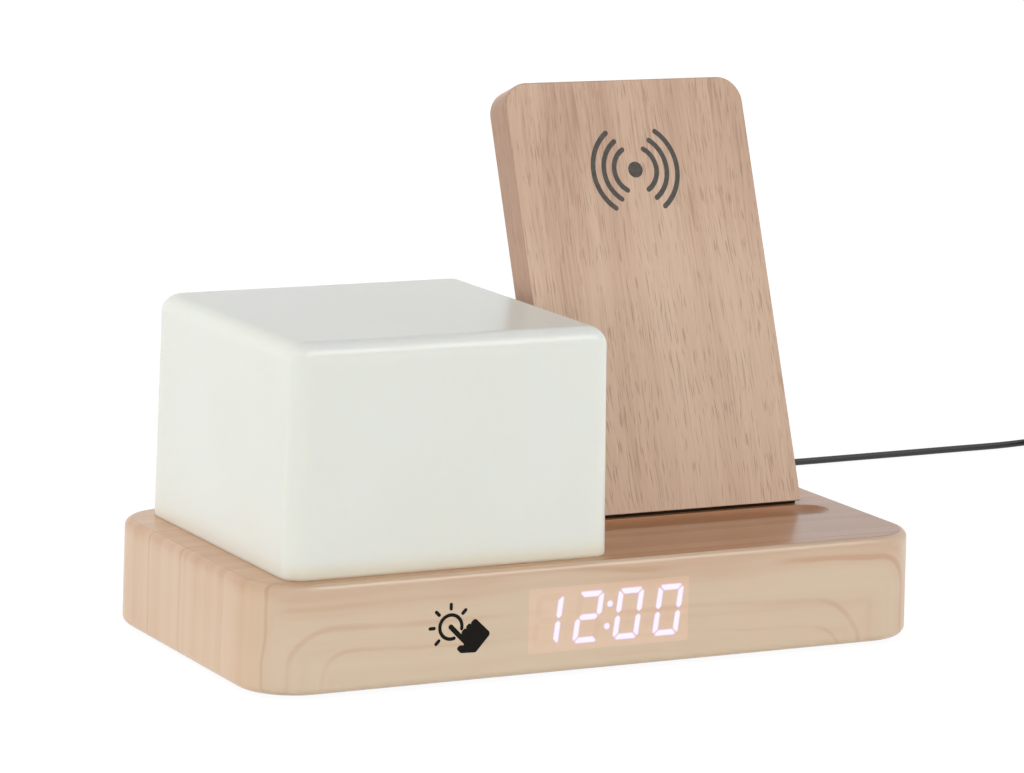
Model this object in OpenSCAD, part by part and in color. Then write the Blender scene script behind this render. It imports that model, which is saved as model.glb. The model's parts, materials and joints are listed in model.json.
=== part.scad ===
// Bedside alarm clock: a wood-grain base with a lit display, a box lamp and a leaning phone charger.
// Millimetres, +Z up, +Y to the back. The origin is on the table, below the centre of the base.

/* [Lamp] */
// Width of the shade at its foot
lamp_w = 93.5; // [84:0.5:108]
// Depth of the shade at its foot
lamp_d = 92; // [84:0.1:108]
// Height of the shade above the base
lamp_h = 61.4; // [45:0.1:90]
// Radius of the shade's upright edges, at the top
lamp_edge_r = 2.9; // [1.2:0.05:4]
// Radius of the edge round the shade's top
lamp_top_r = 5; // [3:0.1:8]
// Draft of the shade's sides, in degrees
lamp_draft = 1.2; // [0.4:0.1:2]
// Wall of the shade
lamp_wall = 2.2; // [1.6:0.1:2.8]
// Thickness of the tray inside the shade's foot
tray_t = 2; // [1.5:0.1:3]
// Side of the square light board
light_board_w = 50; // [40:1:60]
// Distance between neighbouring lights
light_pitch = 11; // [8:0.5:13]

/* [Charger panel] */
// Width of the panel
panel_w = 75.5; // [66:0.5:90]
// Length of the panel's face up its slope
panel_l = 122.9; // [105:0.1:150]
// Thickness of the panel
panel_t = 10.4; // [9.6:0.1:13]
// Lean of the panel from upright, in degrees
panel_tilt = 20.85; // [17:0.05:25]
// Radius of the panel's upper corners
panel_corner_r = 7.4; // [5:0.1:12]
// Side wall of the front shell
panel_wall = 2; // [1.5:0.1:3]
// Thickness of the front shell's face
panel_face_t = 2.2; // [1.6:0.1:2.8]
// Gap between the panel's foot and the base
panel_gap = 0.8; // [0.4:0.1:2]
// Outer diameter of the charging coil
coil_d = 44; // [36:1:48]

/* [Base] */
// Height of the base
base_h = 29.2; // [27:0.1:36]
// Radius of the base's upright edges at its foot
base_corner_r = 16.2; // [12:0.1:20]
// Radius of the edge round the base's top
base_top_r = 2.2; // [1:0.1:3.5]
// Radius of the edge round the base's foot
base_foot_r = 2.5; // [0.5:0.1:2.6]
// Draft of the base's sides, in degrees
base_draft = 0.8; // [0.3:0.1:1.5]
// Side wall of the base
base_wall = 2.6; // [2.2:0.1:3.2]
// Top wall of the base
top_wall = 3; // [2.6:0.1:3.6]
// Thickness of the bottom cover
cover_t = 3; // [2.6:0.1:3.6]
// From the base's left edge to the lamp
lamp_margin = 10.25; // [8:0.25:20]
// From the lamp to the charger panel
lamp_panel_gap = 7.8; // [4:0.1:15]
// From the charger panel to the base's right edge
panel_margin = 12.95; // [8:0.05:20]
// From the base's front edge to the lamp
lamp_front = 5.8; // [5.5:0.1:20]
// From the lamp to the base's back edge
lamp_back = 6.8; // [3:0.1:15]
// From the base's front edge to the foot of the panel's face
panel_front = 47.5; // [42:0.5:54]

/* [Phone groove] */
// How far the groove runs past the panel on each side
groove_over = 3.75; // [0:0.25:4]
// Width of the groove
groove_w = 12.5; // [9:0.1:16]
// Depth of the groove
groove_depth = 1.8; // [0.8:0.1:2.2]
// From the panel's face to the groove
groove_set = 1.2; // [0.5:0.1:4]

/* [Display] */
// Width of the window
window_w = 47.6; // [46.8:0.1:54]
// Height of the window
window_h = 17.1; // [16.5:0.1:18]
// Place of the window's middle across the base
window_x = 0.9; // [-4:0.1:4]
// Thickness of the window
window_t = 1.2; // [0.8:0.1:2]
// Height of a digit
digit_h = 14; // [11:0.1:14.5]
// Width of a digit
digit_w = 7.6; // [6:0.1:8.5]
// From one digit to the next
digit_pitch = 12; // [11:0.1:12.3]
// Slant of the digits, in degrees
digit_slant = 7.6; // [0:0.1:9]
// Width of a lit bar
bar_w = 1.75; // [1:0.05:2]
// Depth of the reflector block behind the window
reflector_t = 7; // [5:0.5:9]

/* [Buttons and socket] */
// Diameter of a button's cap
button_d = 8; // [6:0.1:9]
// From one button to the next
button_pitch = 16; // [13:0.5:18]
// How far a button stands out of its recess
button_proud = 1; // [0.6:0.1:1.1]
// How far a button can be pressed
button_travel = 0.5; // [0.3:0.05:0.6]
// Depth of the recess round the buttons
recess_depth = 1.2; // [0.8:0.1:1.4]
// Height of the main board above the bottom cover
board_lift = 8; // [6:0.1:9]

/* [Feet and screws] */
// Diameter of a rubber foot
foot_d = 12; // [8:0.5:16]
// How far the feet stand out below the base
foot_proud = 1; // [0.6:0.1:2]
// Thread diameter of the larger screws
screw_d = 2.5; // [2:0.1:2.8]
// Thread diameter of the smaller screws
small_screw_d = 1.8; // [1.5:0.1:2.1]

/* [Supply lead] */
// Diameter of the lead
cord_d = 2.2; // [1.8:0.1:2.4]
// Loops in each of the two layers of the put-away coil
loops = 4; // [3:1:5]
// Diameter across the middle of the loops
loop_d = 26.4; // [24:0.2:28]

/* [Hidden] */
$fn = 64;

// Shared clearances
cut = 1; // how far a cutting shape runs past a face
fit = 0.2; // gap round a piece that drops into its seat
snug = 0.05; // gap round a piece that is pushed into its seat
running = 0.3; // gap round a piece that moves
sunk = 0.5; // how far a shape runs into the one that it is moulded to

// Colours
maple = "#dcb792";
oak = "#c0a084";
milk = "#e9ebe2";
film = "#e0bb98";
light = "#fbeefc";
white_plastic = "#efefec";
board_green = "#2f6b45";
dark_plastic = "#26262a";
steel = "#b9bcc0";
copper = "#b9774a";
ferrite_grey = "#47474c";
rubber_grey = "#3a3a3c";

// Main faces
base_w = lamp_margin + lamp_w + lamp_panel_gap + panel_w + panel_margin;
base_d = lamp_front + lamp_d + lamp_back;
base_z = foot_proud;
top_z = base_z + base_h;
ceiling_z = top_z - top_wall;
floor_z = base_z + cover_t;
lamp_x = -base_w / 2 + lamp_margin + lamp_w / 2;
lamp_y = -base_d / 2 + lamp_front + lamp_d / 2;
panel_x = base_w / 2 - panel_margin - panel_w / 2;
panel_y = -base_d / 2 + panel_front;
panel_z = top_z + panel_gap;
window_z = base_h / 2;
room_r = base_corner_r - base_wall;
base_foot_edge = min(base_foot_r, base_wall);

// Place of a drafted outer or inner side wall at a height above the table
function back_y(z) = base_d / 2 - (z - base_z) * tan(base_draft);
function room_back_y(z) = back_y(z) - base_wall;

// Screws, with their heads in proportion to their threads
head_share = 2.1;
head_h_share = 0.65;
head_d = head_share * screw_d;
head_h = head_h_share * screw_d;
small_head_d = head_share * small_screw_d;
small_head_h = head_h_share * small_screw_d;
slot_w = 0.5;
slot_deep = 0.5;
slot_reach = 0.6;

// Posts inside the shade's corners, sunk a little into its wall
lamp_post_d = 9;
lamp_post_h = 14;
lamp_post_in = lamp_wall + lamp_post_d / 2 - sunk;

// Columns that the bottom cover screws to, beside the shade's screws
column_d = 8;
column_gap = 2;
column_in_x = lamp_margin + lamp_post_in + (column_d + head_d) / 2 + column_gap;
column_in_y = 11.3;
column_bore = 10;
cover_screw_l = 8;

// Feet
foot_t = 2;
foot_gap = 6;
foot_in_x = column_in_x + foot_d + foot_gap;
foot_in_y = 16;

// Main board
board_t = 1.6;
board_z = floor_z + board_lift;
board_top = board_z + board_t;
board_past_lamp = 7;
board_past_panel = 16.7;
board_gap = 2.7;
board_edge = 2.5;
board_left = lamp_x - board_past_lamp;
board_right = panel_x + board_past_panel;
board_back = base_d / 2 - base_wall - board_gap;
board_in = 4;
post_d = 7;
post_bore = 7;
board_screw_l = 6;

// Plug block where the charger's wires, coming down the slope, reach the main board
wire_d = 1.4;
wire_hole_d = 4.6;
charger_wire_cover = 3.8;
charger_wire_y = panel_t - charger_wire_cover;
charger_wire_gap = 2.6;
plug_block_w = 8;
plug_block_d = 6;
plug_block_h = 5;
landing_z = board_top + plug_block_h;
landing_y = panel_y + charger_wire_y / cos(panel_tilt) + (landing_z - panel_z) * tan(panel_tilt);
board_front = landing_y - plug_block_d / 2 - board_edge;

// Neck that clamps the panel to the base's top wall
neck_in = 15.75;
neck_w = panel_w - 2 * neck_in;
neck_set = 2.3;
neck_step = 2;
neck_t = panel_t - neck_step;
neck_y = panel_y + neck_set + neck_t / 2;
neck_screw_in = 6;
neck_screw_x = neck_w / 2 - neck_screw_in;
neck_grip = 7;
neck_plate_rim = 4;
neck_plate_lip = 3;
neck_plate_t = 2;
neck_plate_w = neck_w + 2 * neck_plate_rim;
neck_plate_d = neck_t + 2 * neck_plate_lip;

// Rear buttons and their switches
switch_w = 6;
switch_t = 3.5;
switch_h = 7;
button_lift = 3.6;
button_z = board_top + button_lift;
button_past_lamp = 9;
button_first_x = lamp_x + button_past_lamp;
recess_floor_y = back_y(button_z) - recess_depth;
button_face_y = recess_floor_y + button_proud;
flange_rim = 1.2;
flange_d = button_d + 2 * flange_rim;
flange_t = 1;
flange_y = room_back_y(button_z) - fit;
plunger_d = 3.5;
plunger_out = 2;
plunger_in = 1;
switch_y = flange_y - flange_t - plunger_out;
recess_end = 6;
recess_rim = 2.5;
recess_w = 2 * button_pitch + button_d + 2 * recess_end;
recess_h = button_d + 2 * recess_rim;

// Supply socket and the plug in it
socket_w = 8.9;
socket_h = 3.2;
socket_l = 7.6;
socket_wall = 0.3;
socket_bore = 6.8;
socket_set = 1.3;
socket_sunk = 0.6;
socket_x = panel_x - socket_set;
socket_z = board_top + socket_h / 2;
socket_mouth_y = back_y(socket_z) - socket_sunk;
tongue_w = 6.6;
tongue_h = 0.7;
tongue_l = 5;
plug_face_y = base_d / 2 + fit;
tip_l = 6.4;
tip_wall = 0.3;
plug_w = 11.5;
plug_h = 6.4;
plug_l = 17;
boot_r = 2.6;
boot_l = 9;

// Touch pad and display
touch_x = lamp_x;
pad_w = 20;
pad_h = 15;
pad_t = 0.3;
touch_wire_x = touch_x + pad_w / 4;
wire_on_board = 4;
reflector_rim = 1.2;
reflector_rim_t = 1.2;
display_board_t = 1.2;
ribbon_w = 10;
ribbon_t = 0.4;
display_back = window_t + reflector_t + display_board_t;
bar_gap = 0.3;
dot_d = 1.9;
dot_rise = 3;
digit_set = 0.2;
digit_x = window_x - digit_set;

// Lamp
lamp_inner_edge_r = 2.8;
lamp_inner_top_r = max(lamp_top_r - lamp_wall, lamp_inner_edge_r);
lamp_room_r = lamp_inner_edge_r + lamp_h * tan(lamp_draft);
shade_grip = 7;
shade_screw_l = top_wall + shade_grip;
light_board_t = 1.2;
light_w = 3.5;
light_d = 2.8;
light_h = 0.9;
tray_screw_in = 6;
lamp_wire_back = 16;
lamp_wire_y = lamp_y + lamp_wire_back;
lamp_wire_gap = 3;

// Charger panel
panel_block = 12;
back_cover_t = 2.4;
back_cover_in = 8;
charger_post_d = 6;
charger_screw_l = 4;
coil_t = 1.2;
coil_bore_d = 20;
ferrite_rim = 3;
ferrite_w = coil_d + 2 * ferrite_rim;
ferrite_t = 1;
charger_board_gap = 1.75;
charger_board_w = panel_w - 2 * (back_cover_in + charger_post_d / 2 + charger_board_gap);
charger_board_h = 26;
charger_board_t = 1.2;
charger_board_rise = 6;
charger_board_up = panel_block + charger_board_rise;
charger_standoff = 1.4;
charger_standoff_d = 5;
charger_board_y = panel_face_t + charger_standoff;
charger_board_in = 4;
charger_board_screw_l = 2.4;
coil_gap = 3;
coil_up = charger_board_up + charger_board_h + coil_gap + ferrite_w / 2;

// Placing on the leaning panel, the front wall and the copies of a piece
module on_panel() translate([panel_x, panel_y, panel_z]) rotate([-panel_tilt, 0, 0]) children();
module on_front() translate([0, -base_d / 2, base_z]) rotate([-base_draft, 0, 0]) children();
module at_each(places) for (p = places) translate(p) children();
module facing_back() rotate([-90, 0, 0]) children();

function four(x, y) = [for (i = [-1, 1], j = [-1, 1]) [i * x, j * y]];
function moved(places, x, y) = [for (p = places) [p[0] + x, p[1] + y]];

columns = four(base_w / 2 - column_in_x, base_d / 2 - column_in_y);
feet = four(base_w / 2 - foot_in_x, base_d / 2 - foot_in_y);
board_posts = [
  [board_left + board_in, board_front + board_in],
  [board_left + board_in, board_back - board_in],
  [board_right - board_in, board_back - board_in],
  [panel_x - neck_plate_w / 2 - post_d, board_front + board_in]
];
lamp_posts = moved(four(lamp_w / 2 - lamp_post_in, lamp_d / 2 - lamp_post_in), lamp_x, lamp_y);
tray_holes = [for (i = [-1, 1]) [lamp_x + i * (light_board_w / 2 - tray_screw_in), lamp_y]];
lamp_wire_places = [for (i = [-1, 1]) [lamp_x + i * lamp_wire_gap / 2, lamp_wire_y]];
charger_posts = [
  for (i = [-1, 1], up = [panel_block + back_cover_in, panel_l - back_cover_in - panel_wall])
    [i * (panel_w / 2 - back_cover_in), up]
];
standoffs = moved(
  four(charger_board_w / 2 - charger_board_in, charger_board_h / 2 - charger_board_in),
  0, charger_board_up + charger_board_h / 2
);
neck_holes = [for (i = [-1, 1]) [panel_x + i * neck_screw_x, neck_y]];

// Half outline of a drafted side, with a round shoulder and foot, standing r from its axis at the foot
module side_outline(r, h, draft, shoulder, foot) {
  shoulder_x = r - (h - shoulder) * tan(draft) - shoulder / cos(draft);
  foot_x = r - foot * tan(draft) - foot / cos(draft);
  intersection() {
    square([r, h]);
    union() {
      polygon([
        [0, 0], [foot_x, 0],
        [foot_x + foot * cos(draft), foot + foot * sin(draft)],
        [shoulder_x + shoulder * cos(draft), h - shoulder + shoulder * sin(draft)],
        [shoulder_x, h], [0, h]
      ]);
      translate([shoulder_x, h - shoulder]) circle(shoulder);
      if (foot > 0) translate([foot_x, foot]) circle(foot);
    }
  }
}

// Block with drafted sides, round upright corners and a round top edge
module drafted_block(w, d, h, r, draft, shoulder, foot) {
  module across(span) {
    translate([r - span / 2, 0]) square([span - 2 * r, h]);
    for (side = [0, 1]) mirror([side, 0]) translate([span / 2 - r, 0])
      side_outline(r, h, draft, shoulder, foot);
  }
  rotate([90, 0, 0]) translate([0, 0, r - d / 2]) linear_extrude(d - 2 * r) across(w);
  rotate([90, 0, 90]) translate([0, 0, r - w / 2]) linear_extrude(w - 2 * r) across(d);
  for (turn = [0:90:270]) let (across_x = turn % 270 == 0 ? 1 : -1, across_y = turn < 180 ? 1 : -1)
    translate([across_x * (w / 2 - r), across_y * (d / 2 - r), 0])
      rotate(turn) rotate_extrude(angle = 90) side_outline(r, h, draft, shoulder, foot);
}

// Flat plate with round corners
module round_plate(w, d, t, r) {
  linear_extrude(t) {
    square([w - 2 * r, d], center = true);
    square([w, d - 2 * r], center = true);
    for (p = four(w / 2 - r, d / 2 - r)) translate(p) circle(r);
  }
}

// Bar with half-round ends, lying along X and running back along Y
module slot_bar(w, h, l) {
  facing_back() linear_extrude(l) {
    square([w - h, h], center = true);
    for (side = [-1, 1]) translate([side * (w - h) / 2, 0]) circle(h / 2);
  }
}

// Pan-head screw with its head's outer face at Z = 0, running up
module screw(d, l, wide, high) {
  difference() {
    union() {
      cylinder(d = wide, h = high);
      cylinder(d = d, h = high + l);
    }
    for (turn = [0, 90]) rotate(turn) translate([-wide * slot_reach / 2, -slot_w / 2, -cut])
      cube([wide * slot_reach, slot_w, cut + slot_deep]);
  }
}

// Shallow dish along X with round ends, its rim at Z = 0
module dish(l, w, depth) {
  r = (w * w / 4 + depth * depth) / (2 * depth);
  module bowl() {
    intersection() {
      translate([-w / 2, -depth]) square([w, depth]);
      translate([0, r - depth]) circle(r);
    }
    translate([-w / 2, 0]) square([w, cut]);
  }
  module half_bowl() {
    intersection() {
      bowl();
      translate([0, -depth]) square([w, depth + cut]);
    }
  }
  rotate([90, 0, 90]) translate([0, 0, (w - l) / 2]) linear_extrude(l - w) bowl();
  for (side = [0, 1]) mirror([side, 0, 0]) translate([(l - w) / 2, 0, 0])
    rotate(-90) rotate_extrude(angle = 180) half_bowl();
}

// Inside of the base housing, open below
module base_room() {
  spread = cut * tan(base_draft);
  translate([0, 0, base_z - cut])
    drafted_block(base_w - 2 * base_wall + 2 * spread, base_d - 2 * base_wall + 2 * spread,
      base_h - top_wall + cut, room_r + spread, base_draft, base_top_r, 0);
}

// Hole through the panel's foot, neck and clamp that the charger's wires follow
module charger_wire_hole() {
  on_panel() translate([0, charger_wire_y, -base_h])
    cylinder(d = wire_hole_d, h = base_h + panel_block + cut);
}

// Holes of one size through the base's top wall
module top_holes(places, d) at_each(places) translate([0, 0, ceiling_z - cut])
  cylinder(d = d, h = top_wall + 2 * cut);

// Pillar that hangs from the base's top wall down to a height, and its screw hole from below
module pillar(d, from) translate([0, 0, from]) cylinder(d = d, h = top_z - from - top_wall / 2);
module pillar_bore(from, deep) translate([0, 0, from - cut])
  cylinder(d = screw_d + 2 * snug, h = deep + cut);

// Holes in the base's back wall, for the buttons in their recess and for the supply socket
module back_holes() {
  reach = base_wall + 2 * cut;
  translate([button_first_x + button_pitch, recess_floor_y, button_z])
    slot_bar(recess_w, recess_h, recess_depth + cut);
  for (i = [0:2]) translate([button_first_x + i * button_pitch, room_back_y(button_z) - cut, button_z])
    facing_back() cylinder(d = button_d + 2 * running, h = reach);
  translate([socket_x, room_back_y(socket_z) - cut, socket_z])
    slot_bar(socket_w + 2 * fit, socket_h + 2 * fit, reach);
}

module base_housing() {
  color(maple) difference() {
    union() {
      difference() {
        translate([0, 0, base_z])
          drafted_block(base_w, base_d, base_h, base_corner_r, base_draft, base_top_r, base_foot_edge);
        base_room();
      }
      at_each(columns) pillar(column_d, floor_z);
      at_each(board_posts) pillar(post_d, board_top);
    }
    at_each(columns) pillar_bore(floor_z, column_bore);
    at_each(board_posts) pillar_bore(board_top, post_bore);
    top_holes(lamp_posts, screw_d + 2 * fit);
    top_holes(tray_holes, small_screw_d + 2 * snug);
    top_holes([[lamp_x, lamp_wire_y]], wire_hole_d);
    translate([panel_x - neck_w / 2 - fit, neck_y - neck_t / 2 - fit, ceiling_z - cut])
      cube([neck_w + 2 * fit, neck_t + 2 * fit, top_wall + 2 * cut]);
    translate([panel_x, panel_y - groove_set - groove_w / 2, top_z])
      dish(panel_w + 2 * groove_over, groove_w, groove_depth);
    in_front(-cut, base_wall + cut) translate([window_x, 0]) square([window_w, window_h], center = true);
    back_holes();
  }
}

module bottom_cover() {
  color(dark_plastic) difference() {
    translate([0, 0, base_z]) round_plate(
      base_w - 2 * (base_wall + fit), base_d - 2 * (base_wall + fit), cover_t, room_r - fit
    );
    at_each(columns) translate([0, 0, base_z - cut]) {
      cylinder(d = screw_d + 2 * fit, h = cover_t + 2 * cut);
      cylinder(d = head_d + 2 * fit, h = head_h + fit + cut);
    }
    at_each(feet) translate([0, 0, base_z - cut])
      cylinder(d = foot_d + 2 * snug, h = foot_t - foot_proud + cut);
  }
}

module cover_screws() {
  color(steel) at_each(columns) translate([0, 0, base_z + fit])
    screw(screw_d, cover_screw_l, head_d, head_h);
}

module rubber_feet() color(rubber_grey) at_each(feet) cylinder(d = foot_d, h = foot_t);

// The seven bars of a digit, as centre, length and whether the bar stands upright
bar_up = (digit_h - bar_w) / 2;
bar_out = (digit_w - bar_w) / 2;
bars = [
  [0, bar_up, 2 * bar_out, false],
  [bar_out, bar_up / 2, bar_up, true],
  [bar_out, -bar_up / 2, bar_up, true],
  [0, -bar_up, 2 * bar_out, false],
  [-bar_out, -bar_up / 2, bar_up, true],
  [-bar_out, bar_up / 2, bar_up, true],
  [0, 0, 2 * bar_out, false]
];

// The bars that each figure of the shown time lights
lit_bars = [[1, 2], [0, 1, 3, 4, 6], [0, 1, 2, 3, 4, 5], [0, 1, 2, 3, 4, 5]];
function is_lit(digit, bar) = len([for (b = lit_bars[digit]) if (b == bar) b]) > 0;

// One bar: a flat strip with pointed ends, slanted with its digit
module bar_shape(b) {
  half = b[2] / 2 - bar_gap;
  tip = half - bar_w / 2;
  wide = bar_w / 2;
  strip = [[-half, 0], [-tip, wide], [tip, wide], [half, 0], [tip, -wide], [-tip, -wide]];
  placed = [for (p = strip) [b[0], b[1]] + (b[3] ? [p[1], p[0]] : p)];
  polygon([for (q = placed) [q[0] + q[1] * tan(digit_slant), q[1]]]);
}

// The bars of all the digits that are lit, or that are not
module bar_set(lit) {
  for (digit = [0:3]) translate([digit_x + (digit - 1.5) * digit_pitch, 0])
    for (bar = [0:6]) if (is_lit(digit, bar) == lit) bar_shape(bars[bar]);
  if (lit) for (rise = [-dot_rise, dot_rise]) translate([digit_x + rise * tan(digit_slant), rise])
    circle(d = dot_d);
}

// Flat shapes on the front wall, given depth from one distance behind its face to another
module in_front(from, to) on_front() translate([0, to, window_z]) rotate([90, 0, 0])
  linear_extrude(to - from) children();

module display_window() {
  color(film) difference() {
    in_front(0, window_t) translate([window_x, 0])
      square([window_w - 2 * snug, window_h - 2 * snug], center = true);
    in_front(-cut, window_t + cut) bar_set(true);
    in_front(-cut, window_t + cut) bar_set(false);
  }
}

module lit_segments() color(light) in_front(0, window_t) bar_set(true);

module unlit_segments() color(film) in_front(0, window_t) bar_set(false);

module display_reflector() {
  color(white_plastic) {
    in_front(window_t, window_t + reflector_t)
      translate([window_x, 0]) square([window_w - 2 * fit, window_h - 2 * fit], center = true);
    in_front(base_wall + snug, base_wall + snug + reflector_rim_t) translate([window_x, 0])
      square([window_w + 2 * reflector_rim, window_h + 2 * reflector_rim], center = true);
  }
}

module display_board() {
  color(board_green) in_front(window_t + reflector_t, display_back)
    translate([window_x, 0]) square([window_w, window_h], center = true);
}

// Back of a layer on the front wall, where it meets a height above the table
function behind_front(depth, z) = -base_d / 2 + depth / cos(base_draft) + (z - base_z) * tan(base_draft);

module display_ribbon() {
  from = behind_front(display_back, board_top + ribbon_t);
  color(steel) translate([window_x - ribbon_w / 2, from, board_top])
    cube([ribbon_w, board_front + wire_on_board - from, ribbon_t]);
}

module touch_pad() {
  color(copper) in_front(base_wall, base_wall + pad_t)
    translate([touch_x, 0]) square([pad_w, pad_h], center = true);
}

module touch_wire() {
  z = board_top + wire_d / 2;
  from = behind_front(base_wall + pad_t, z + wire_d / 2);
  color(dark_plastic) translate([touch_wire_x, from, z])
    facing_back() cylinder(d = wire_d, h = board_front + wire_on_board - from);
}

module main_board() {
  color(board_green) difference() {
    translate([board_left, board_front, board_z])
      cube([board_right - board_left, board_back - board_front, board_t]);
    at_each(board_posts) translate([0, 0, board_z - cut])
      cylinder(d = screw_d + 2 * fit, h = board_t + 2 * cut);
  }
}

// A place on the main board, as far in from its left and back edges, and how far the row of parts stands in
module on_board(right, forward) translate([board_left + right, board_back - forward, board_top]) children();
row_in = 27;
row_step = 12;

// Chips and a choke as width, depth, height and place, and capacitors as diameter, height and place
chips = [[10, 10, 1.6, 76, row_in], [7, 5, 1.5, 90, row_in - row_step], [6.5, 6.5, 3.5, 90, row_in]];
cans = [[6.3, 7.5, 103, row_in], [6.3, 7.5, 103, row_in - row_step], [5, 7, 76, row_in - row_step]];
module board_parts() {
  color(dark_plastic) {
    for (c = chips) on_board(c[3], c[4]) translate([-c[0] / 2, -c[1] / 2, 0]) cube([c[0], c[1], c[2]]);
    for (c = cans) on_board(c[2], c[3]) cylinder(d = c[0], h = c[1]);
    translate([panel_x - plug_block_w / 2, landing_y - plug_block_d / 2, board_top])
      cube([plug_block_w, plug_block_d, plug_block_h]);
  }
}

module board_screws() {
  color(steel) at_each(board_posts) translate([0, 0, board_z - head_h])
    screw(screw_d, board_screw_l, head_d, head_h);
}

buzzer_d = 12;
buzzer_h = 8;
buzzer_hole = 2;
buzzer_in = 58;
module buzzer() {
  color(dark_plastic) on_board(buzzer_in, row_in) difference() {
    cylinder(d = buzzer_d, h = buzzer_h);
    translate([0, 0, buzzer_h / 2]) cylinder(d = buzzer_hole, h = buzzer_h);
  }
}

cell_d = 20;
cell_t = 3.2;
cell_in = 30;
holder_w = 23;
holder_h = 4.6;
module cell_holder() {
  color(white_plastic) on_board(cell_in, row_in) difference() {
    translate([-holder_w / 2, -holder_w / 2, 0]) cube([holder_w, holder_w, holder_h]);
    translate([0, 0, holder_h - cell_t]) cylinder(d = cell_d + 2 * fit, h = cell_t + cut);
  }
}

module coin_cell() {
  color(steel) on_board(cell_in, row_in) translate([0, 0, holder_h - cell_t])
    cylinder(d = cell_d, h = cell_t);
}

module supply_socket() {
  color(steel) translate([socket_x, socket_mouth_y - socket_l, socket_z]) {
    difference() {
      slot_bar(socket_w, socket_h, socket_l);
      translate([0, socket_l - socket_bore, 0])
        slot_bar(socket_w - 2 * socket_wall, socket_h - 2 * socket_wall, socket_bore + cut);
    }
    translate([-tongue_w / 2, socket_l - socket_bore - sunk, -tongue_h / 2])
      cube([tongue_w, tongue_l + sunk, tongue_h]);
  }
}

// A place on the axis of one of the rear buttons
module on_button(i, y) translate([button_first_x + i * button_pitch, y, button_z]) children();

module button_switches() {
  color(dark_plastic) for (i = [0:2]) on_button(i, switch_y) difference() {
    translate([-switch_w / 2, -switch_t, -button_lift]) cube([switch_w, switch_t, switch_h]);
    translate([0, -plunger_in - button_travel - fit, 0])
      facing_back() cylinder(d = plunger_d + 2 * running, h = switch_t);
  }
}

// Button cap with a flange behind the wall, and the plunger that it pushes
module rear_button(i) {
  color(dark_plastic) on_button(i, flange_y - flange_t) facing_back() {
    cylinder(d = flange_d, h = flange_t);
    cylinder(d = button_d, h = button_face_y - flange_y + flange_t);
  }
}
module rear_plunger(i) {
  color(white_plastic) on_button(i, switch_y - plunger_in)
    facing_back() cylinder(d = plunger_d, h = plunger_in + plunger_out);
}

module set_button() rear_button(0);
module up_button() rear_button(1);
module down_button() rear_button(2);
module set_plunger() rear_plunger(0);
module up_plunger() rear_plunger(1);
module down_plunger() rear_plunger(2);

// Drafted block whose edge round the top is rounder than its upright edges
module shade_form(w, d, h, edge, top) {
  module across(span, length) {
    rotate([90, 0, 0]) translate([0, 0, -length / 2 - cut]) linear_extrude(length + 2 * cut)
      for (side = [0, 1]) mirror([side, 0]) side_outline(span / 2, h, lamp_draft, top, 0);
  }
  intersection() {
    across(w, d);
    rotate(90) across(d, w);
    drafted_block(w, d, h, edge + h * tan(lamp_draft), lamp_draft, edge / 2, 0);
  }
}

module lamp_shade() {
  wall = 2 * lamp_wall - 2 * cut * tan(lamp_draft);
  color(milk) difference() {
    union() {
      translate([lamp_x, lamp_y, top_z]) difference() {
        shade_form(lamp_w, lamp_d, lamp_h, lamp_edge_r, lamp_top_r);
        translate([0, 0, -cut]) shade_form(
          lamp_w - wall, lamp_d - wall, lamp_h - lamp_wall + cut, lamp_inner_edge_r, lamp_inner_top_r
        );
      }
      at_each(lamp_posts) translate([0, 0, top_z]) cylinder(d = lamp_post_d, h = lamp_post_h);
    }
    at_each(lamp_posts) translate([0, 0, top_z - cut])
      cylinder(d = screw_d + 2 * snug, h = shade_screw_l + cut);
  }
}

module lamp_tray() {
  rim = lamp_wall + running;
  deep = tray_t + 2 * cut;
  color(white_plastic) difference() {
    translate([lamp_x, lamp_y, top_z])
      round_plate(lamp_w - 2 * rim, lamp_d - 2 * rim, tray_t, lamp_room_r);
    at_each(lamp_posts) translate([0, 0, top_z - cut]) cylinder(d = lamp_post_d + 2 * running, h = deep);
    at_each(tray_holes) translate([0, 0, top_z - cut]) cylinder(d = small_screw_d + 2 * fit, h = deep);
    translate([lamp_x, lamp_wire_y, top_z - cut]) cylinder(d = wire_hole_d, h = deep);
  }
}

module light_board() {
  color(white_plastic) difference() {
    translate([lamp_x - light_board_w / 2, lamp_y - light_board_w / 2, top_z + tray_t])
      cube([light_board_w, light_board_w, light_board_t]);
    at_each(tray_holes) translate([0, 0, top_z + tray_t - cut])
      cylinder(d = small_screw_d + 2 * fit, h = light_board_t + 2 * cut);
  }
}

module lamp_lights() {
  color(light) translate([lamp_x - light_w / 2, lamp_y - light_d / 2, top_z + tray_t + light_board_t])
    for (i = [-1:1], j = [-1.5:1.5]) translate([i * light_pitch, j * light_pitch, 0])
      cube([light_w, light_d, light_h]);
}

module shade_screws() {
  color(steel) at_each(lamp_posts) translate([0, 0, ceiling_z - head_h])
    screw(screw_d, shade_screw_l, head_d, head_h);
}

module tray_screws() {
  l = light_board_t + tray_t + top_wall;
  color(steel) at_each(tray_holes) translate([0, 0, top_z + tray_t + light_board_t + small_head_h])
    mirror([0, 0, 1]) screw(small_screw_d, l, small_head_d, small_head_h);
}

module lamp_wires() {
  color(dark_plastic) at_each(lamp_wire_places) translate([0, 0, board_top])
    cylinder(d = wire_d, h = top_z + tray_t - board_top);
}

// Outline of the panel's face, drawn in by a wall all round
module panel_outline(inset) {
  w = panel_w - 2 * inset;
  top = panel_l - inset;
  r = panel_corner_r - inset;
  from = -panel_t;
  translate([-w / 2, from]) square([w, top - r - from]);
  translate([r - w / 2, from]) square([w - 2 * r, top - from]);
  for (side = [-1, 1]) translate([side * (w / 2 - r), top - r]) circle(r);
}

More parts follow.
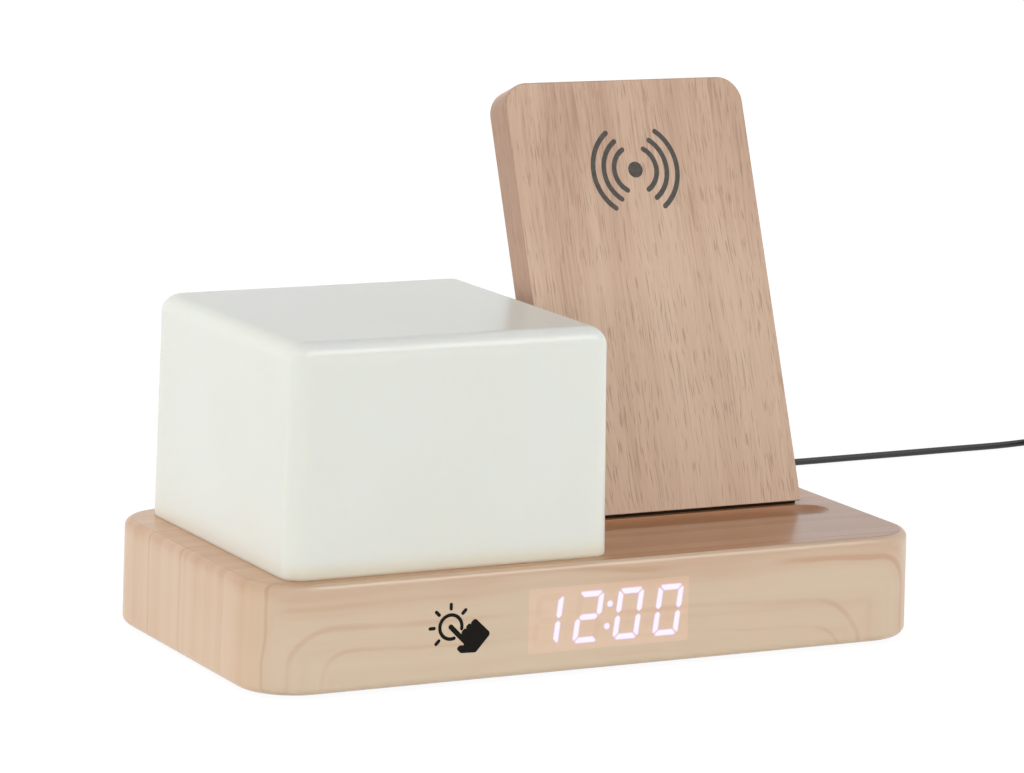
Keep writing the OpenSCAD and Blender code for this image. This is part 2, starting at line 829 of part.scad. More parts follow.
// A flat shape on the panel's slope, from one depth behind its face to another
module in_panel(from, to) on_panel() translate([0, to, 0]) rotate([90, 0, 0])
  linear_extrude(to - from) children();

// The part of the panel's slope that lies above a height up the slope
module above(up, margin) translate([-panel_w, up + margin]) square([2 * panel_w, 2 * panel_l]);

// Room for the coil and board inside the panel, open to the back
module panel_room(from, to, margin) {
  in_panel(from, to) intersection() {
    panel_outline(panel_wall + margin);
    above(panel_block, margin);
  }
}

// Everything below the foot of the panel
module below_panel() {
  translate([panel_x - panel_w, panel_y - panel_l, panel_z - panel_l])
    cube([2 * panel_w, 2 * panel_l, panel_l]);
}

module charger_front() {
  color(oak) difference() {
    union() {
      difference() {
        in_panel(0, panel_t) panel_outline(0);
        panel_room(panel_face_t, panel_t + cut, 0);
        below_panel();
      }
      translate([panel_x - neck_w / 2, neck_y - neck_t / 2, ceiling_z])
        cube([neck_w, neck_t, panel_z + sunk - ceiling_z]);
      in_panel(panel_face_t - sunk, panel_t - back_cover_t)
        at_each(charger_posts) circle(d = charger_post_d);
      in_panel(panel_face_t - sunk, charger_board_y)
        at_each(standoffs) circle(d = charger_standoff_d);
    }
    in_panel(panel_face_t, panel_t) at_each(charger_posts) circle(d = small_screw_d + 2 * snug);
    in_panel(panel_face_t, panel_t) at_each(standoffs) circle(d = small_screw_d + 2 * snug);
    at_each(neck_holes) translate([0, 0, ceiling_z - cut])
      cylinder(d = screw_d + 2 * snug, h = neck_grip + 2 * cut);
    charger_wire_hole();
  }
}

module charger_back() {
  color(oak) difference() {
    panel_room(panel_t - back_cover_t, panel_t, snug);
    in_panel(0, panel_t + cut) at_each(charger_posts) circle(d = small_screw_d + 2 * fit);
    in_panel(panel_t - small_head_h - snug, panel_t + cut)
      at_each(charger_posts) circle(d = small_head_d + 2 * fit);
  }
}

module charger_screws() {
  color(steel) on_panel() for (p = charger_posts) translate([p[0], panel_t - snug, p[1]]) rotate([90, 0, 0])
    screw(small_screw_d, charger_screw_l, small_head_d, small_head_h);
}

module charging_coil() {
  color(copper) in_panel(panel_face_t, panel_face_t + coil_t) translate([0, coil_up]) difference() {
    circle(d = coil_d);
    circle(d = coil_bore_d);
  }
}

module ferrite_plate() {
  color(ferrite_grey) in_panel(panel_face_t + coil_t, panel_face_t + coil_t + ferrite_t)
    translate([0, coil_up]) square(ferrite_w, center = true);
}

module charger_board() {
  color(board_green) {
    in_panel(charger_board_y, charger_board_y + charger_board_t) difference() {
      translate([-charger_board_w / 2, charger_board_up]) square([charger_board_w, charger_board_h]);
      at_each(standoffs) circle(d = small_screw_d + 2 * fit);
    }
    in_panel(charger_board_y + charger_board_t - sunk, charger_wire_y + wire_d / 2 + fit)
      translate([-plug_block_w / 2, charger_board_up]) square([plug_block_w, plug_block_h]);
  }
}

module charger_board_screws() {
  color(steel) on_panel() for (p = standoffs)
    translate([p[0], charger_board_y + charger_board_t + small_head_h, p[1]]) rotate([90, 0, 0])
      screw(small_screw_d, charger_board_screw_l, small_head_d, small_head_h);
}

module charger_wires() {
  color(dark_plastic) difference() {
    on_panel() for (side = [-1, 1]) translate([side * charger_wire_gap / 2, charger_wire_y, -base_h])
      cylinder(d = wire_d, h = base_h + charger_board_up);
    translate([panel_x - panel_w / 2, landing_y - panel_w / 2, landing_z - base_h])
      cube([panel_w, panel_w, base_h]);
  }
}

module neck_plate() {
  color(steel) difference() {
    translate([panel_x - neck_plate_w / 2, neck_y - neck_plate_d / 2, ceiling_z - neck_plate_t])
      cube([neck_plate_w, neck_plate_d, neck_plate_t]);
    at_each(neck_holes) translate([0, 0, ceiling_z - neck_plate_t - cut])
      cylinder(d = screw_d + 2 * fit, h = neck_plate_t + 2 * cut);
    charger_wire_hole();
  }
}

module neck_screws() {
  color(steel) at_each(neck_holes) translate([0, 0, ceiling_z - neck_plate_t - head_h])
    screw(screw_d, neck_plate_t + neck_grip, head_d, head_h);
}

// Cone that tapers up from a plug to the lead, its foot sunk into the plug
module boot(r, l) rotate_extrude()
  polygon([[0, -sunk], [r, -sunk], [r, 0], [cord_d / 2, l], [0, l]]);

module cord_plug() {
  color(dark_plastic) translate([socket_x, plug_face_y, socket_z]) {
    slot_bar(plug_w, plug_h, plug_l);
    translate([0, plug_l, 0]) facing_back() boot(boot_r, boot_l);
  }
}

module plug_tip() {
  w = socket_w - 2 * socket_wall - 2 * snug;
  h = socket_h - 2 * socket_wall - 2 * snug;
  color(steel) translate([socket_x, plug_face_y - tip_l, socket_z]) difference() {
    slot_bar(w, h, tip_l);
    translate([0, -cut, 0]) slot_bar(w - 2 * tip_wall, h - 2 * tip_wall, tip_l);
  }
}

// The lead's way over the table: down from its plug, round to the right and off to its coil
route = [
  [48, 78.5, 15.2], [48, 81, 15.2], [48, 86, 14.9], [48.2, 92, 13.6], [48.6, 99, 10.8], [49.2, 106, 7.2],
  [50, 113, 4], [51.4, 120, 1.9], [54, 129, 1.2], [59, 140, 1.2], [67, 150, 1.2], [78, 158.5, 1.2],
  [92, 165, 1.2], [108, 169.5, 1.2], [126, 172, 1.2], [146, 173, 1.2], [168, 173, 1.2], [192, 173.3, 1.2],
  [212, 173.8, 1.2], [232, 174.3, 1.2], [252, 174.9, 1.2], [270, 175.4, 1.2], [282, 175.8, 1.5],
  [289, 176, 1.8], [292, 176, 1.8]
];
tube_steps = 3;
tube_sides = 8;
coil_sides = 6;
loop_rings = 24;
loop_gap = 0.55;
loop_step = cord_d + loop_gap;
coil_tail = 10;
coil_start = route[len(route) - 1] + [cord_d, 0, 0];
coil_out_r = loop_d / 2 + loops * loop_step / 2;
coil_middle = coil_start - [0, coil_out_r, 0];
coil_rings = 2 * loops * loop_rings;

// Point on a smooth curve through the route's points
function smooth(a, b, c, d, t) =
  0.5 * (2 * b + (c - a) * t + (2 * a - 5 * b + 4 * c - d) * t * t + (3 * b - a - 3 * c + d) * t * t * t);
function smooth_route(p) = let (last = len(p) - 1) concat(
  [for (i = [0:last - 1], s = [0:tube_steps - 1])
    smooth(p[max(i - 1, 0)], p[i], p[i + 1], p[min(i + 2, last)], s / tube_steps)],
  [p[last]]
);

// Loops that spiral in on the table, climb a layer in half a turn and spiral out again on top
function climb(u) = let (t = min(max(2 * (u - loops) + 0.5, 0), 1)) t * t * (3 - 2 * t);
function loop_point(u) =
  let (r = coil_out_r - loop_step * (loops - abs(u - loops)), turn = 90 - 360 * u)
  coil_middle + [r * cos(turn), r * sin(turn), loop_step * climb(u)];
loop_points = [for (i = [0:coil_rings]) loop_point(i / loop_rings)];
coil_end = loop_points[coil_rings] + [coil_tail, 0, 0];
coil_points = concat([coil_start - [cord_d, 0, 0]], loop_points, [coil_end]);
near = loop_rings / 2;
apart = [for (i = [0:coil_rings], j = [i + near:1:coil_rings]) norm(loop_points[i] - loop_points[j])];
echo(least_gap_between_loops = min(apart) - cord_d);

// Tube of flat sides along points, with its first and last rings square to X or Y
function unit(v) = v / norm(v);
function heading(p, i) = unit(p[min(i + 1, len(p) - 1)] - p[max(i - 1, 0)]);
module tube(p, d, sides, first, last) {
  n = len(p);
  points = [
    for (i = [0:n - 1])
      let (way = i == 0 ? first : i == n - 1 ? last : heading(p, i))
      let (side = unit(cross(way, [0, 0, 1])), up = cross(side, way))
      for (k = [0:sides - 1]) p[i] + d / 2 * (cos(360 * k / sides) * side + sin(360 * k / sides) * up)
  ];
  skin = [
    for (i = [0:n - 2], k = [0:sides - 1])
      let (a = i * sides + k, b = i * sides + (k + 1) % sides)
      each [[a, a + sides, b], [b, a + sides, b + sides]]
  ];
  far = (n - 1) * sides;
  ends = [for (k = [1:sides - 2]) each [[0, k, k + 1], [far, far + k + 1, far + k]]];
  polyhedron(points, concat(skin, ends));
}

module cord_lead() color(dark_plastic) tube(smooth_route(route), cord_d, tube_sides, [0, 1, 0], [1, 0, 0]);

module cord_coil() color(dark_plastic) tube(coil_points, cord_d, coil_sides, [1, 0, 0], [1, 0, 0]);

// Strap round the loops, on the side away from the lead
tie_w = 4;
tie_t = 0.5;
tie_gap = 0.15;
tie_side_gap = 0.5;
module cord_tie() {
  reach = (loops - 1) * loop_step + cord_d + 2 * tie_side_gap;
  high = loop_step + cord_d + 2 * tie_gap;
  color(rubber_grey) translate(coil_middle + [-tie_w / 2, -loop_d / 2, loop_step / 2])
    rotate([90, 0, 90]) linear_extrude(tie_w) difference() {
      square([reach + 2 * tie_t, high + 2 * tie_t], center = true);
      square([reach, high], center = true);
    }
}

// Plug at the far end of the lead, lying on the table beside the loops
usb_w = 16;
usb_off_table = 0.2;
usb_h = 2 * (coil_end[2] - usb_off_table);
usb_l = 24;
usb_boot_r = 2.4;
usb_boot_l = 9;
usb_shell_w = 12;
usb_shell_h = 4.5;
usb_shell_l = 18.7;
usb_shell_wall = 0.35;
usb_tongue_h = 1.9;
module usb_plug() {
  color(dark_plastic) translate(coil_end) {
    translate([usb_boot_l, 0, 0]) rotate([0, -90, 0]) boot(usb_boot_r, usb_boot_l);
    translate([usb_boot_l, -usb_w / 2, -usb_h / 2]) cube([usb_l, usb_w, usb_h]);
  }
}

module usb_plug_shell() {
  inner_w = usb_shell_w - 2 * usb_shell_wall;
  inner_h = usb_shell_h - 2 * usb_shell_wall;
  color(steel) translate(coil_end + [usb_boot_l + usb_l, 0, 0]) {
    difference() {
      translate([0, -usb_shell_w / 2, -usb_shell_h / 2]) cube([usb_shell_l, usb_shell_w, usb_shell_h]);
      translate([usb_shell_wall, -inner_w / 2, -inner_h / 2]) cube([usb_shell_l, inner_w, inner_h]);
    }
    translate([0, -inner_w / 2, -inner_h / 2]) cube([usb_shell_l - usb_shell_wall, inner_w, usb_tongue_h]);
  }
}

base_housing();
bottom_cover();
cover_screws();
rubber_feet();
display_window();
lit_segments();
unlit_segments();
display_reflector();
display_board();
display_ribbon();
touch_pad();
touch_wire();
main_board();
board_parts();
board_screws();
buzzer();
cell_holder();
coin_cell();
supply_socket();
button_switches();
set_button();
up_button();
down_button();
set_plunger();
up_plunger();
down_plunger();
lamp_shade();
lamp_tray();
light_board();
lamp_lights();
shade_screws();
tray_screws();
lamp_wires();
charger_front();
charger_back();
charger_screws();
charging_coil();
ferrite_plate();
charger_board();
charger_board_screws();
charger_wires();
neck_plate();
neck_screws();
cord_plug();
plug_tip();
cord_lead();
cord_coil();
cord_tie();
usb_plug();
usb_plug_shell();
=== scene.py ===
import json
import math

import bmesh
import bpy
from mathutils import Matrix, Vector


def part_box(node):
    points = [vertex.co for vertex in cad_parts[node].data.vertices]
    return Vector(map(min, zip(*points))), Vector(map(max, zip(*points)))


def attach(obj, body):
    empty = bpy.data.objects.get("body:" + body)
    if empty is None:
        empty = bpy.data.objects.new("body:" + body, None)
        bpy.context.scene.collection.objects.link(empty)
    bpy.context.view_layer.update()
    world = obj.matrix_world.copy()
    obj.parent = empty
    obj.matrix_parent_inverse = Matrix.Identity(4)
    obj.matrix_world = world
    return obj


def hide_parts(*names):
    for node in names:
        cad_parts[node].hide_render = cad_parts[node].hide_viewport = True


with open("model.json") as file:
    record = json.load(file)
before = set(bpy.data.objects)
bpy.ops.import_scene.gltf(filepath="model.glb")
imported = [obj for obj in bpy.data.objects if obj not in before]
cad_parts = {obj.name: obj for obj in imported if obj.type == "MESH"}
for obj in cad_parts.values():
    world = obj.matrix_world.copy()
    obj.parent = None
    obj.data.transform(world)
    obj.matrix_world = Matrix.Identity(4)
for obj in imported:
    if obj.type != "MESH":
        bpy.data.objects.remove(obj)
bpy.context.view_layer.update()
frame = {"nodes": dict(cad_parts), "record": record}
mm = 0.001  # lengths below are written in millimetres
nodeSlot = {row["node"]: row["material_slot"] for row in frame["record"]["subparts"]}
mounts = {mount["name"]: mount for mount in frame["record"]["mounts"]}
print("frame loaded:", len(frame["nodes"]), "nodes")


# Camera at the photograph's place, for an image of 1024 by 773
view = {"place": (-0.578617, -1.114609, 0.297552), "yaw": 0.476763, "pitch": 0.180939, "roll": 0.027611,
        "lens": 165.05, "sensor": 36, "near": 0.05}


def placeCamera():
    data = bpy.data.cameras.new("camera")
    data.lens = view["lens"]
    data.sensor_width = view["sensor"]
    data.clip_start = view["near"]
    camera = bpy.data.objects.new("camera", data)
    aim = Matrix.Rotation(-view["yaw"], 4, "Z") @ Matrix.Rotation(math.pi / 2 - view["pitch"], 4, "X")
    camera.matrix_world = Matrix.Translation(view["place"]) @ aim @ Matrix.Rotation(view["roll"], 4, "Z")
    bpy.context.scene.collection.objects.link(camera)
    bpy.context.scene.camera = camera


placeCamera()
print("camera placed")


# Shapes are drawn on planes: each has its own across, up and outward directions
def planeAt(origin, across, up):
    across, up = Vector(across).normalized(), Vector(up).normalized()
    turn = Matrix((across, up, across.cross(up))).transposed()
    return Matrix.Translation(origin) @ turn.to_4x4()


base = {"halfDepth": 52.3 * mm, "foot": 1.0 * mm, "draft": math.radians(0.8)}
panel = {"wide": 75.5 * mm, "long": 122.9 * mm, "thick": 10.4 * mm, "corner": 7.4 * mm, "gap": 0.8 * mm}
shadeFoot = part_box("lamp_shade")[0].z  # the base's top, where the lamp stands
panelOut = Vector(mounts["charging_face"]["axis"])  # away from the panel's face
panelUp = Vector((0, panelOut.z, -panelOut.y)).normalized()
panelMiddle = Vector(mounts["charging_face"]["pos_m"])
panelFoot = panelMiddle + panelUp * ((shadeFoot + panel["gap"] - panelMiddle.z) / panelUp.z)
panelPlane = planeAt(panelFoot, (1, 0, 0), panelUp)
frontPlane = planeAt((0, -base["halfDepth"], base["foot"]), (1, 0, 0),
                     (0, math.sin(base["draft"]), math.cos(base["draft"])))


# A colour as a screen shows it, 0 to 255, turned into light
def tone(*channels):
    shares = [channel / 255 for channel in channels]
    return (*(s / 12.92 if s <= 0.04045 else ((s + 0.055) / 1.055) ** 2.4 for s in shares), 1)


class Wire:  # one socket of a finish, so that a pattern is written as sums
    def __init__(self, tree, socket=None):
        self.tree = tree
        self.socket = socket

    def make(self, kind, settings=None, sockets=None, out=0):
        node = self.tree.nodes.new(kind)
        for name, value in (settings or {}).items():
            if name == "stops":  # a ramp's places and colours
                stops = node.color_ramp.elements
                for _ in range(len(value) - 2):
                    stops.new(0.5)
                for stop, (place, colour) in zip(stops, value):
                    stop.position = place
                    stop.color = colour
            else:
                setattr(node, name, value)
        for name, value in (sockets or {}).items():
            self.feed(node.inputs[name], value)
        return Wire(self.tree, node.outputs[out])

    def feed(self, socket, value):
        if isinstance(value, Wire):
            self.tree.links.new(value.socket, socket)
        else:
            socket.default_value = value

    def maths(self, operation, first, second=0.0):
        return self.make("ShaderNodeMath", {"operation": operation}, {0: first, 1: second})

    def __add__(self, other):
        return self.maths("ADD", self, other)

    def __sub__(self, other):
        return self.maths("SUBTRACT", self, other)

    def __rsub__(self, other):
        return self.maths("SUBTRACT", other, self)

    def __mul__(self, other):
        return self.maths("MULTIPLY", self, other)

    def __truediv__(self, other):
        return self.maths("DIVIDE", self, other)

    def __rtruediv__(self, other):
        return self.maths("DIVIDE", other, self)

    def __pow__(self, other):
        return self.maths("POWER", self, other)

    def __abs__(self):
        return self.maths("ABSOLUTE", self)

    __radd__ = __add__
    __rmul__ = __mul__

    def most(self, other):  # the larger of two values
        return self.maths("MAXIMUM", self, other)

    def least(self, other):
        return self.maths("MINIMUM", self, other)

    def blend(self, first, second):  # two colours, mixed by this value
        return self.make("ShaderNodeMix", {"data_type": "RGBA"}, {0: self, 6: first, 7: second}, 2)

    def ease(self, low, high):  # 0 below low, 1 above high
        return self.make("ShaderNodeMapRange", {"interpolation_type": "SMOOTHSTEP"},
                         {"Value": self, "From Min": low, "From Max": high})

    def ramp(self, places, colours):
        return self.make("ShaderNodeValToRGB", {"stops": list(zip(places, colours))}, {"Fac": self})

    def parts(self):
        node = self.make("ShaderNodeSeparateXYZ", None, {0: self}).socket.node
        return [Wire(self.tree, socket) for socket in node.outputs]

    def vector(self, operation, other, out=0):
        return self.make("ShaderNodeVectorMath", {"operation": operation}, {0: self, 1: other}, out)

    def noise(self, perMetre, detail=2.0, rough=0.5):  # this place's noise, with features per metre
        scaled = self.vector("MULTIPLY", perMetre)
        return self.make("ShaderNodeTexNoise", None,
                         {"Vector": scaled, "Scale": 1.0, "Detail": detail, "Roughness": rough})

    def bands(self, perMetre, start, strength):  # soft bands of noise along one distance
        along = self.make("ShaderNodeTexNoise", {"noise_dimensions": "1D"},
                          {"W": self * perMetre + start, "Scale": 1.0, "Detail": 2.0, "Roughness": 0.5})
        return (along - 0.5) * strength

    def line(self, at, wide):  # 1 where this distance is at a place, and 0 beyond a width from it
        return 1 - abs(self - at).ease(0.0, wide)


# A finish is a material with one Principled shader: constants go straight onto its sockets
def startFinish(name, constants):
    material = bpy.data.materials.new(name)
    material.use_nodes = True
    shader = material.node_tree.nodes["Principled BSDF"]
    for socket, value in constants.items():
        shader.inputs[socket].default_value = value
    place = Wire(material.node_tree).make("ShaderNodeTexCoord", out="Object")
    return material, shader, place


def endFinish(shader, place, colour, rough, height=None, depth=0):
    place.feed(shader.inputs["Base Color"], colour)
    place.feed(shader.inputs["Roughness"], rough)
    if depth:
        bump = place.make("ShaderNodeBump", None, {"Strength": 1.0, "Distance": depth, "Height": height})
        place.feed(shader.inputs["Normal"], bump)


# Maple-grain film on the base: flat arches on the front and back, straight lines over the top and ends, with
# painted shade on the top and towards the right end
maple = {"tones": {"front": (tone(221, 203, 177), tone(218, 195, 168), tone(204, 166, 136)),
                   "end": (tone(221, 194, 164), tone(216, 184, 153), tone(199, 152, 116)),
                   # painted shade: the top's tones are darker than the front's. The darkest are the painted
                   # shadow of the panel and lamp in front of the panel. The paler ones cover the rest of the
                   # top, where more light falls beside the lamp
                   "top": (tone(190, 137, 93), tone(178, 121, 77), tone(152, 96, 57)),
                   "lightShadedTop": (tone(215, 174, 136), tone(207, 161, 120), tone(186, 134, 93))},
         "stops": (0.1, 0.48, 1.0), "depth": 0.38, "fibre": 0.12, "cloud": 0.5, "warmBand": 0.3,
         "rough": 0.31, "topRough": 0.22, "roughCloud": 0.04,
         # features per metre along x, y and z
         "driftGrain": (16, 22, 40), "waveGrain": (60, 60, 90), "fadeGrain": (28, 28, 60),
         "fibreRound": (20, 20, 900), "fibreOver": (12, 900, 8), "fade": (0.35, 0.75),
         # how far the drift and the finer wave push the figure aside
         "drift": (4 * mm, 3 * mm, 5 * mm), "wave": (0.5 * mm, 1.6 * mm),
         # arches, first the one that the soft bands follow: middle, half width, rise and bend
         # in millimetres, slope, then line width and strength
         "arches": ((-2.75, 96.75, 25, 10, 0.01, 1.2, 0.12), (-20, 114, 28, 9, -0.03, 1.3, 0.38),
                    (-6.5, 85.5, 17, 14, -0.03, 1.4, 0.32), (-5, 78, 10, 9, -0.03, 1.2, 0.27),
                    (12, 52, 5, 4.5, -0.02, 1.2, 0.2)),
         "archWarm": (-4 * mm, 2 * mm), "archBands": (220, 30, 0.4), "archFull": (50 * mm, 75 * mm),
         # straight lines as places and widths in millimetres, then strength
         "lines": ((-46, 0.8, 0.4), (-27, 0.5, 0.3), (1, 1.0, 0.22), (22, 0.7, 0.45), (41, 0.5, 0.25)),
         # below the top edge the film turns darker and warmer, and towards the right end it darkens as
         # painted shade
         "rimWarm": (25 * mm, 29.5 * mm), "rightShade": (91 * mm, 98 * mm), "lineBands": (150, 40, 0.6),
         # where the top's flat gives way to its edge, and how far faces turn before their grain changes
         "flatX": (93 * mm, 96 * mm), "flatY": (42 * mm, 46 * mm),
         "level": (0.93, 0.995), "nearLevel": (0.5, 0.7), "corner": (0.43, 0.7),
         "lampEdge": (-4 * mm, 6 * mm), "panelBack": (5 * mm, 40 * mm)}


def mapleFinish(name, look):
    material, shader, place = startFinish(name, {"Specular IOR Level": 0.5})
    x, y, z = place.parts()
    facing = [abs(part) for part in place.make("ShaderNodeNewGeometry", out="Normal").parts()]
    sideways = facing[0] / (facing[0] + facing[1] + 0.001)  # 0 on the front and back, 1 on the ends
    flat = (1 - abs(x).ease(*look["flatX"])) * (1 - abs(y).ease(*look["flatY"]))
    top = facing[2].ease(*look["level"]).most(facing[2].ease(*look["nearLevel"]) * flat)
    ends = sideways.ease(*look["corner"])
    front = (1 - sideways).ease(*look["corner"]) * (1 - top)
    drift = place.noise(look["driftGrain"]) - 0.5
    wave = place.noise(look["waveGrain"]) - 0.5
    across = x + drift * look["drift"][0]
    deep = y + drift * look["drift"][1] + wave * look["wave"][0]
    high = z + drift * look["drift"][2] + wave * look["wave"][1]
    fading = place.noise(look["fadeGrain"]).ease(*look["fade"]).most(abs(x).ease(*look["archFull"]))

    def outsideArch(middle, half, rise, bend, slope):  # metres outside the arch, below 0 within it
        aside = abs(across - middle * mm) - (half - bend) * mm
        above = high - x * slope - (rise - bend) * mm
        corner = (aside.most(0.0) ** 2.0 + above.most(0.0) ** 2.0) ** 0.5
        return corner + aside.most(above).least(0.0) - bend * mm

    outsideFirst = outsideArch(*look["arches"][0][:5])
    archFigure = outsideFirst.bands(*look["archBands"])
    archFigure = archFigure + outsideFirst.ease(*look["archWarm"]) * look["warmBand"]
    for *arch, wide, strength in look["arches"]:
        archFigure = archFigure + outsideArch(*arch).line(0.0, wide * mm) * fading * strength
    # darker and warmer below the top edge, and painted shade towards the right end
    warm = z.ease(*look["rimWarm"]).most(x.ease(*look["rightShade"])) * (1 - top)
    lineFigure = deep.bands(*look["lineBands"]) + warm * look["warmBand"]
    for at, wide, strength in look["lines"]:
        lineFigure = lineFigure + deep.line(at * mm, wide * mm) * strength
    # the film's fibres run round the corners and on over the top's edge
    fibre = place.noise(look["fibreRound"]) * front + place.noise(look["fibreOver"]) * (1 - front)
    figure = archFigure * front + lineFigure * (1 - front)
    darkness = figure + (fibre - 0.5) * look["fibre"] + drift * look["cloud"] + look["depth"]
    colours = {face: darkness.ramp(look["stops"], tones) for face, tones in look["tones"].items()}
    # painted shadow of the lamp and panel: right of the lamp and in front of the panel's back, the top takes
    # its darkest tones
    panelShadow = x.ease(*look["lampEdge"]) * (1 - y.ease(*look["panelBack"]))
    topColour = panelShadow.blend(colours["lightShadedTop"], colours["top"])
    colour = top.blend(ends.blend(colours["front"], colours["end"]), topColour)
    rough = look["rough"] + drift * look["roughCloud"] + top * (look["topRough"] - look["rough"])
    endFinish(shader, place, colour, rough)
    return material


# Oak-grain film on the charger panel: lines up the slope, with short dark pores and darker edges, painted
# shade towards its top, and near-black painted shade below its foot
oak = {"tones": (tone(219, 189, 163), tone(208, 176, 150), tone(186, 149, 123)), "stops": (0.1, 0.5, 0.95),
       "pore": tone(138, 102, 80), "edge": tone(168, 131, 108), "footShade": tone(74, 52, 40),
       "depth": 0.42, "stripe": 1.2, "fibre": 0.6, "cloud": 0.4, "sway": 9 * mm,
       # features per metre across, up and into the panel
       "driftGrain": (36, 9, 36), "stripeGrain": (95, 4, 95), "fibreGrain": (1300, 30, 1300),
       "patchGrain": (55, 26, 55),
       # flecks, streaks and hairs: features per metre, gathering in patches, threshold and strength
       "pores": (((2200, 130, 2200), 0.25, (0.58, 0.69), 0.44), ((520, 38, 520), 0.2, (0.66, 0.76), 0.34),
                 ((2400, 42, 2400), 0.0, (0.58, 0.7), 0.26)),
       # painted shade on the panel's upper part
       "topShade": 0.34, "topShadeRise": (45 * mm, 118 * mm),  # darker towards the top
       "edgeShare": 0.7, "edgeTurn": (0.5, 0.9), "underTurn": (0.6, 0.9),
       "rough": 0.42, "roughFibre": 0.12, "bump": 0.02 * mm}


def oakFinish(name, look):
    material, shader, place = startFinish(name, {"Specular IOR Level": 0.45})
    fromFoot = place.vector("SUBTRACT", panelFoot)
    across = fromFoot.parts()[0]
    up = fromFoot.vector("DOT_PRODUCT", panelUp, "Value")
    deep = fromFoot.vector("DOT_PRODUCT", -panelOut, "Value")
    facing = place.make("ShaderNodeNewGeometry", out="Normal")
    edge = abs(facing.parts()[0]).ease(*look["edgeTurn"])
    under = facing.vector("DOT_PRODUCT", -panelUp, "Value").ease(*look["underTurn"])  # painted shade: downward faces below the foot are near black
    board = place.make("ShaderNodeCombineXYZ", None, {0: across, 1: up, 2: deep})
    drift = board.noise(look["driftGrain"]) - 0.5
    swayed = place.make("ShaderNodeCombineXYZ", None, {0: across + drift * look["sway"], 1: up, 2: deep})
    stripes = swayed.noise(look["stripeGrain"], 3.0, 0.55) - 0.5
    fibre = swayed.noise(look["fibreGrain"])
    patches = board.noise(look["patchGrain"]) - 0.5
    flecks, streaks, hairs = [(swayed.noise(grain, 1.0) + patches * gather).ease(*threshold) * strength
                              for grain, gather, threshold, strength in look["pores"]]
    pores = flecks.most(streaks).most(hairs)
    figure = stripes * look["stripe"] + (fibre - 0.5) * look["fibre"] + drift * look["cloud"]
    # painted shade: the film darkens towards the panel's top
    darkness = figure + up.ease(*look["topShadeRise"]) * look["topShade"] + look["depth"]
    wood = (edge * look["edgeShare"]).blend(darkness.ramp(look["stops"], look["tones"]), look["edge"])
    # painted shade on the downward faces below the panel's foot
    colour = under.blend(pores.blend(wood, look["pore"]), look["footShade"])
    rough = look["rough"] + (fibre - 0.5) * look["roughFibre"]
    endFinish(shader, place, colour, rough, fibre - pores, look["bump"])
    return material


# Milky plastic of the lamp's shade, with painted warm bounce light from the wood near its foot, painted shade
# where it stands on the wood, and a painted highlight along its front top edge
# the rim tone is a painted highlight along the front top edge
milk = {"colour": tone(238, 240, 231), "cloud": tone(236, 237, 226), "rim": tone(248, 249, 241),
        # the warm tone is painted bounce light from the wood; the brown tone after it is painted shade at the
        # foot
        "warm": tone(226, 212, 182), "contactShade": tone(206, 170, 134),
        "highlightShare": 0.8, "bounceShare": 0.2, "bounceFront": 0.45, "contactShare": 0.5,
        "bounceRise": 7 * mm, "contactRise": 0.9 * mm,
        # how far faces turn: towards the front, up into the top edge, out of it, and away from the sides
        "front": (0.3, 0.9), "highlightFrom": (0.4, 0.75), "highlightTo": (0.95, 1.0), "highlightFront": (0.1, 0.4),
        "rough": 0.245, "roughCloud": 0.03, "bump": 0.004 * mm,
        "shader": {"Specular IOR Level": 0.3, "Subsurface Weight": 0.6, "Subsurface Radius": (1.0, 0.9, 0.7),
                   "Subsurface Scale": 4 * mm}}


def milkFinish(name, look):
    material, shader, place = startFinish(name, look["shader"])
    cloud = place.noise((18, 18, 18))
    skin = place.noise((500, 500, 500))
    high = place.parts()[2] - shadeFoot
    # painted bounce light: warm from the wood, fading over the lowest millimetres
    warm = 1 - high.ease(0.0, look["bounceRise"])
    # painted shade in the lowest millimetre, where the shade stands on the wood
    contactShade = 1 - high.ease(0.0, look["contactRise"])
    _, aside, upward = place.make("ShaderNodeNewGeometry", out="Normal").parts()
    front = abs(aside).ease(*look["front"])
    # painted highlight on the rounded top edge, between its upward and its front faces
    highlightEdge = upward.ease(*look["highlightFrom"]) * (1 - upward.ease(*look["highlightTo"]))
    rim = highlightEdge * abs(aside).ease(*look["highlightFront"])
    colour = cloud.ease(0.3, 0.7).blend(look["colour"], look["cloud"])
    # painted warm bounce light near the foot, more on the front
    colour = (warm * warm * (front * look["bounceFront"] + look["bounceShare"])).blend(colour, look["warm"])
    # painted highlight along the front top edge
    colour = (rim * look["highlightShare"]).blend(colour, look["rim"])
    # painted shade at the foot, where the lamp stands on the wood
    colour = (contactShade * look["contactShare"]).blend(colour, look["contactShade"])
    endFinish(shader, place, colour, look["rough"] + (cloud - 0.5) * look["roughCloud"], skin, look["bump"])
    return material


